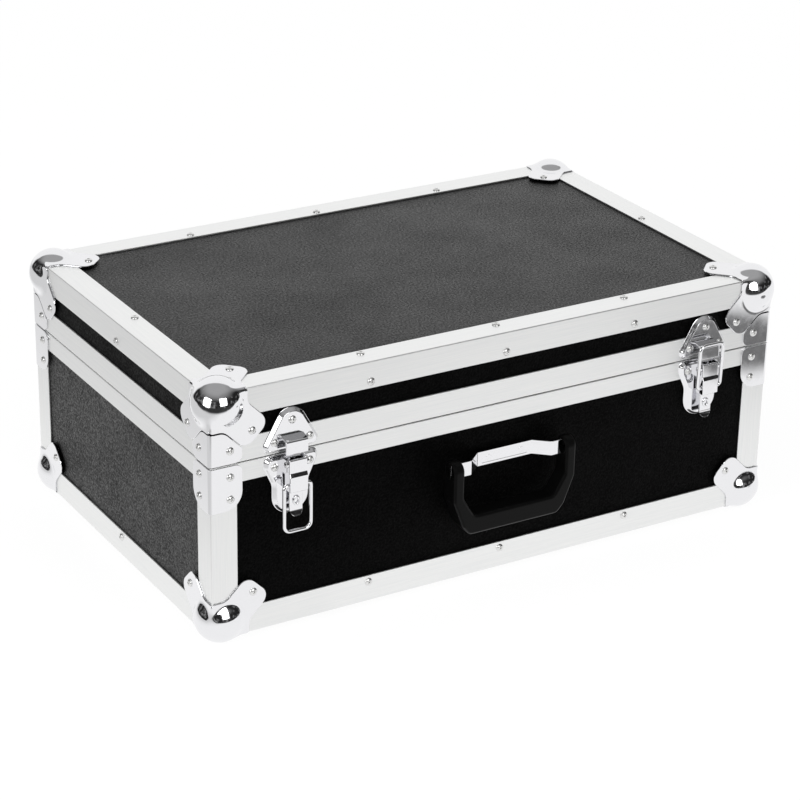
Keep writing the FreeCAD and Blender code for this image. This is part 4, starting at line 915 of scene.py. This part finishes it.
# The strap seen from above as (across, standoff, radius), and its groove as (across, height)
STRAP = [(55.5, 12.9, 0), (37, 12.9, 2.5), (25, 2.5, 2.5),
         (-25, 2.5, 2.5), (-37, 12.9, 2.5), (-55.5, 12.9, 0),
         (-55.5, 10.4, 0), (-38, 10.4, 1.5), (-26, 0, 1.5),
         (26, 0, 1.5), (38, 10.4, 1.5), (55.5, 10.4, 0)]
GROOVE_OUT = 2.2
GROOVE = [(-21, -4), (21, -4), (21, -3.2), (-21, -3.2)]
points = [(Vector((across, FRONT - standoff, STRAP_Z - STRAP_WIDE / 2)), radius)
          for across, standoff, radius in STRAP]
strap = thicken(outline("handle strap", points, (0, 0, -1)), (0, 0, STRAP_WIDE))
softened(strap, 0.3)
points = [(Vector((across, FRONT - GROOVE_OUT, STRAP_Z + height)), 0.3) for across, height in GROOVE]
roller = thicken(outline("groove roller", points, (0, -1, 0)), (0, -3, 0))
modify(strap, "BOOLEAN", operation="DIFFERENCE", object=roller, solver="EXACT")
bpy.data.objects.remove(roller)
seat(strap, chrome, "strap_steel", "tray", "handle_bracket")
plugs = [round_bar("strap rivet", (across, FRONT, STRAP_Z), "y", 2.4, 2.55, 0.15) for across in (-15, 15)]
seat(joined(plugs), chrome, "rivet", "tray", "handle_rivets")


# Handle grip
# One moulding of black nylon with a fine spark-eroded grain: a hand bar between two arms.
# Each arm ends in a round eye whose socket turns on the strap's end.

# Moulded nylon: black, satin, with a fine grain about 0.5 mm across
nylon, tree, shader = surface("moulded black nylon", {"Base Color": linear("#080808"), "IOR": 1.5,
                                                      "Specular Tint": linear("#3c3c3c")})
place = add(tree, "ShaderNodeTexCoord", {})
grain = add(tree, "ShaderNodeTexNoise", {"Scale": grains(0.5), "Detail": 2.0},
            [("Vector", place.outputs["Object"])])
gloss = add(tree, "ShaderNodeMapRange", {"To Min": 0.32, "To Max": 0.5}, [("Value", grain.outputs["Fac"])])
bumps = add(tree, "ShaderNodeBump", {"Strength": 0.2, "Distance": 0.06 * MM},
            [("Height", grain.outputs["Fac"])])
tree.links.new(gloss.outputs["Result"], shader.inputs["Roughness"])
tree.links.new(bumps.outputs["Normal"], shader.inputs["Normal"])

# The eyes' radius and their pivot's standoff, then half the grip as (across, height, radius)
EYE = 8.2
EYE_OUT = 11.65
SOCKET = 6.35
SOCKET_LONG = 16
half_grip = [(56, EYE, 0), (56, -24, 6), (47, -47, 6), (40.5, -54.5, 6)]
half_mouth = [(36.5, -38.5, 6), (46.5, -22, 6), (46.5, EYE, 0)]
rim = half_grip + [(-across, down, radius) for across, down, radius in reversed(half_grip)]
rim += [(-across, down, radius) for across, down, radius in reversed(half_mouth)] + half_mouth
points = [(Vector((across, FRONT - EYE_OUT - EYE, STRAP_Z + down)), radius)
          for across, down, radius in rim]
grip = thicken(outline("handle grip", points, (0, -1, 0)), (0, 2 * EYE, 0))


def crosses_top(edge):
    """Whether an edge of the grip lies across the top of an arm."""
    ends = [grip.data.vertices[index].co for index in edge.vertices]
    high = (STRAP_Z + EYE) * MM
    return all(abs(end.z - high) < 1e-6 for end in ends) and abs(ends[0].y - ends[1].y) < 1e-6


select(grip, "EDGE", crosses_top)
bpy.ops.mesh.bevel(offset=(EYE - 0.3) * MM, segments=12, affect="EDGES", clamp_overlap=False)
bpy.ops.object.mode_set(mode="OBJECT")
softened(grip, 2.4, 4)
for start in (-57, 57 - SOCKET_LONG):
    socket = round_bar("socket", (start, FRONT - EYE_OUT, STRAP_Z), "x", SOCKET, SOCKET_LONG, 0.1)
    modify(grip, "BOOLEAN", operation="DIFFERENCE", object=socket, solver="EXACT")
    bpy.data.objects.remove(socket)
seat(grip, nylon, "grip_plastic", "grip", "handle_grip")


# Studio
# A white paper floor under the case and a white backdrop behind it, seen by the camera as plain white.
# Two square soft lamps stand above the case, and what its metal mirrors is a dim room with some clutter.

# White paper floor: diffuse, glowing to the camera, and to mirrors a sheet that ends towards the camera
WHITE = (1, 1, 1, 1)
paper_floor = bpy.data.materials.new("white paper floor")
paper_floor.use_nodes = True
tree = paper_floor.node_tree
tree.nodes.clear()
paper = add(tree, "ShaderNodeBsdfDiffuse", {"Color": linear("#f4f4f4")})
glow = add(tree, "ShaderNodeEmission", {"Color": WHITE, "Strength": 1.05})
ray = add(tree, "ShaderNodeLightPath", {})
share = add(tree, "ShaderNodeMath", {"operation": "MULTIPLY", 1: 0.85},
            [(0, ray.outputs["Is Camera Ray"])])
plain = add(tree, "ShaderNodeMixShader", {}, [(0, share.outputs["Value"]), (1, paper.outputs["BSDF"]),
                                              (2, glow.outputs["Emission"])])
place = add(tree, "ShaderNodeTexCoord", {})
nearer = add(tree, "ShaderNodeVectorMath", {"operation": "DOT_PRODUCT", 1: (-0.515, -0.857, 0)},
             [(0, place.outputs["Object"])])
sheet = add(tree, "ShaderNodeMapRange",
            {"From Min": 0.56, "From Max": 0.8, "To Min": 1.0, "To Max": 0.05,
             "interpolation_type": "SMOOTHSTEP"}, [("Value", nearer.outputs["Value"])])
across = add(tree, "ShaderNodeSeparateXYZ", {}, [("Vector", place.outputs["Object"])])
left_shade = add(tree, "ShaderNodeMapRange",
                 {"From Min": -0.46, "From Max": -0.3, "To Min": 0.72, "To Max": 1.0},
                 [("Value", across.outputs["X"])])

# One dark spot stands where the right-hand braces and catch mirror the floor.
from_spot = add(tree, "ShaderNodeVectorMath", {"operation": "DISTANCE", 1: (0.458, -0.462, 0)},
                [(0, place.outputs["Object"])])
spot_shade = add(tree, "ShaderNodeMapRange",
                 {"From Min": 0.055, "From Max": 0.095, "To Min": 0.18, "To Max": 1.0,
                  "interpolation_type": "SMOOTHSTEP"}, [("Value", from_spot.outputs["Value"])])
shaded = add(tree, "ShaderNodeMath", {"operation": "MULTIPLY"},
             [(0, sheet.outputs["Result"]), (1, left_shade.outputs["Result"])])
level = add(tree, "ShaderNodeMath", {"operation": "MULTIPLY"},
            [(0, shaded.outputs["Value"]), (1, spot_shade.outputs["Result"])])
mirrored = add(tree, "ShaderNodeEmission", {"Color": WHITE}, [("Strength", level.outputs["Value"])])
final = add(tree, "ShaderNodeMixShader", {}, [(0, ray.outputs["Is Glossy Ray"]),
                                              (1, plain.outputs["Shader"]),
                                              (2, mirrored.outputs["Emission"])])
add(tree, "ShaderNodeOutputMaterial", {}, [("Surface", final.outputs["Shader"])])
bpy.ops.object.select_all(action="DESELECT")
bpy.ops.mesh.primitive_plane_add(size=14, location=(0, 0, -0.5 * MM))
floor = bpy.context.object
floor.name = "studio floor"
floor.data.materials.append(paper_floor)

# The room: white to the camera, soft light on rough surfaces, and to mirrors a bright wall ahead of
# the camera, a paler ceiling and dim clutter elsewhere
world = bpy.data.worlds.new("studio")
bpy.context.scene.world = world
world.use_nodes = True
tree = world.node_tree
tree.nodes.clear()
way = add(tree, "ShaderNodeTexCoord", {})
facing = add(tree, "ShaderNodeVectorMath", {"operation": "DOT_PRODUCT", 1: (0.495, 0.834, 0.243)},
             [(0, way.outputs["Generated"])])
wall = add(tree, "ShaderNodeMapRange",
           {"From Min": 0.52, "From Max": 0.64, "To Min": 0.0, "To Max": 1.0,
            "interpolation_type": "SMOOTHSTEP"}, [("Value", facing.outputs["Value"])])
height = add(tree, "ShaderNodeSeparateXYZ", {}, [("Vector", way.outputs["Generated"])])
ceiling = add(tree, "ShaderNodeMapRange",
              {"From Min": 0.35, "From Max": 0.92, "To Min": 0.015, "To Max": 0.38,
               "interpolation_type": "SMOOTHSTEP"}, [("Value", height.outputs["Z"])])
clutter = add(tree, "ShaderNodeTexNoise", {"Scale": 4.0, "Detail": 3.0, "Roughness": 0.6},
              [("Vector", way.outputs["Generated"])])
glints = add(tree, "ShaderNodeMapRange", {"From Min": 0.5, "From Max": 0.7, "To Min": 0.0, "To Max": 0.4},
             [("Value", clutter.outputs["Fac"])])
large = add(tree, "ShaderNodeMath", {"operation": "MAXIMUM"},
            [(0, wall.outputs["Result"]), (1, ceiling.outputs["Result"])])
level = add(tree, "ShaderNodeMath", {"operation": "MAXIMUM"},
            [(0, large.outputs["Value"]), (1, glints.outputs["Result"])])
soft = add(tree, "ShaderNodeBackground", {"Color": WHITE, "Strength": 0.75})
room = add(tree, "ShaderNodeBackground", {"Color": WHITE}, [("Strength", level.outputs["Value"])])
backdrop = add(tree, "ShaderNodeBackground", {"Color": WHITE, "Strength": 1.0})
ray = add(tree, "ShaderNodeLightPath", {})
mirrored = add(tree, "ShaderNodeMixShader", {}, [(0, ray.outputs["Is Glossy Ray"]),
                                                 (1, soft.outputs["Background"]),
                                                 (2, room.outputs["Background"])])
seen = add(tree, "ShaderNodeMixShader", {}, [(0, ray.outputs["Is Camera Ray"]),
                                             (1, mirrored.outputs["Shader"]),
                                             (2, backdrop.outputs["Background"])])
add(tree, "ShaderNodeOutputWorld", {}, [("Surface", seen.outputs["Shader"])])

LAMP_AWAY = 1.8
for name, heading in (("left lamp", (-0.87, -0.328, 0.367)), ("front lamp", (-0.07, -0.903, 0.421))):
    heading = Vector(heading).normalized()
    bpy.ops.object.light_add(type="AREA", location=heading * LAMP_AWAY)
    lamp = bpy.context.object
    lamp.name = name
    lamp.rotation_euler = heading.to_track_quat("Z", "Y").to_euler()
    lamp.data.shape = "SQUARE"
    lamp.data.size = 0.85
    lamp.data.energy = 9

# The camera's place, the ways to its right, down its picture and into it, and its lens
CAMERA_PLACE = Vector((-1019.089, MIDDLE - 1706.773, FOOT + 969.625))
RIGHT_WAY = Vector((0.862124, -0.506411, 0.017012))
DOWN_WAY = Vector((-0.193149, -0.359490, -0.912940))
VIEW_WAY = Vector((0.468439, 0.783782, -0.407738))
lens = bpy.data.cameras.new("photo camera")
lens.lens = 117.709
lens.sensor_width = 36
camera = bpy.data.objects.new("photo camera", lens)
bpy.context.collection.objects.link(camera)
turn = Matrix((RIGHT_WAY, -DOWN_WAY, -VIEW_WAY)).transposed().to_4x4()
camera.matrix_world = Matrix.Translation(CAMERA_PLACE * MM) @ turn
bpy.context.scene.camera = camera
bpy.context.scene.view_settings.view_transform = "Standard"
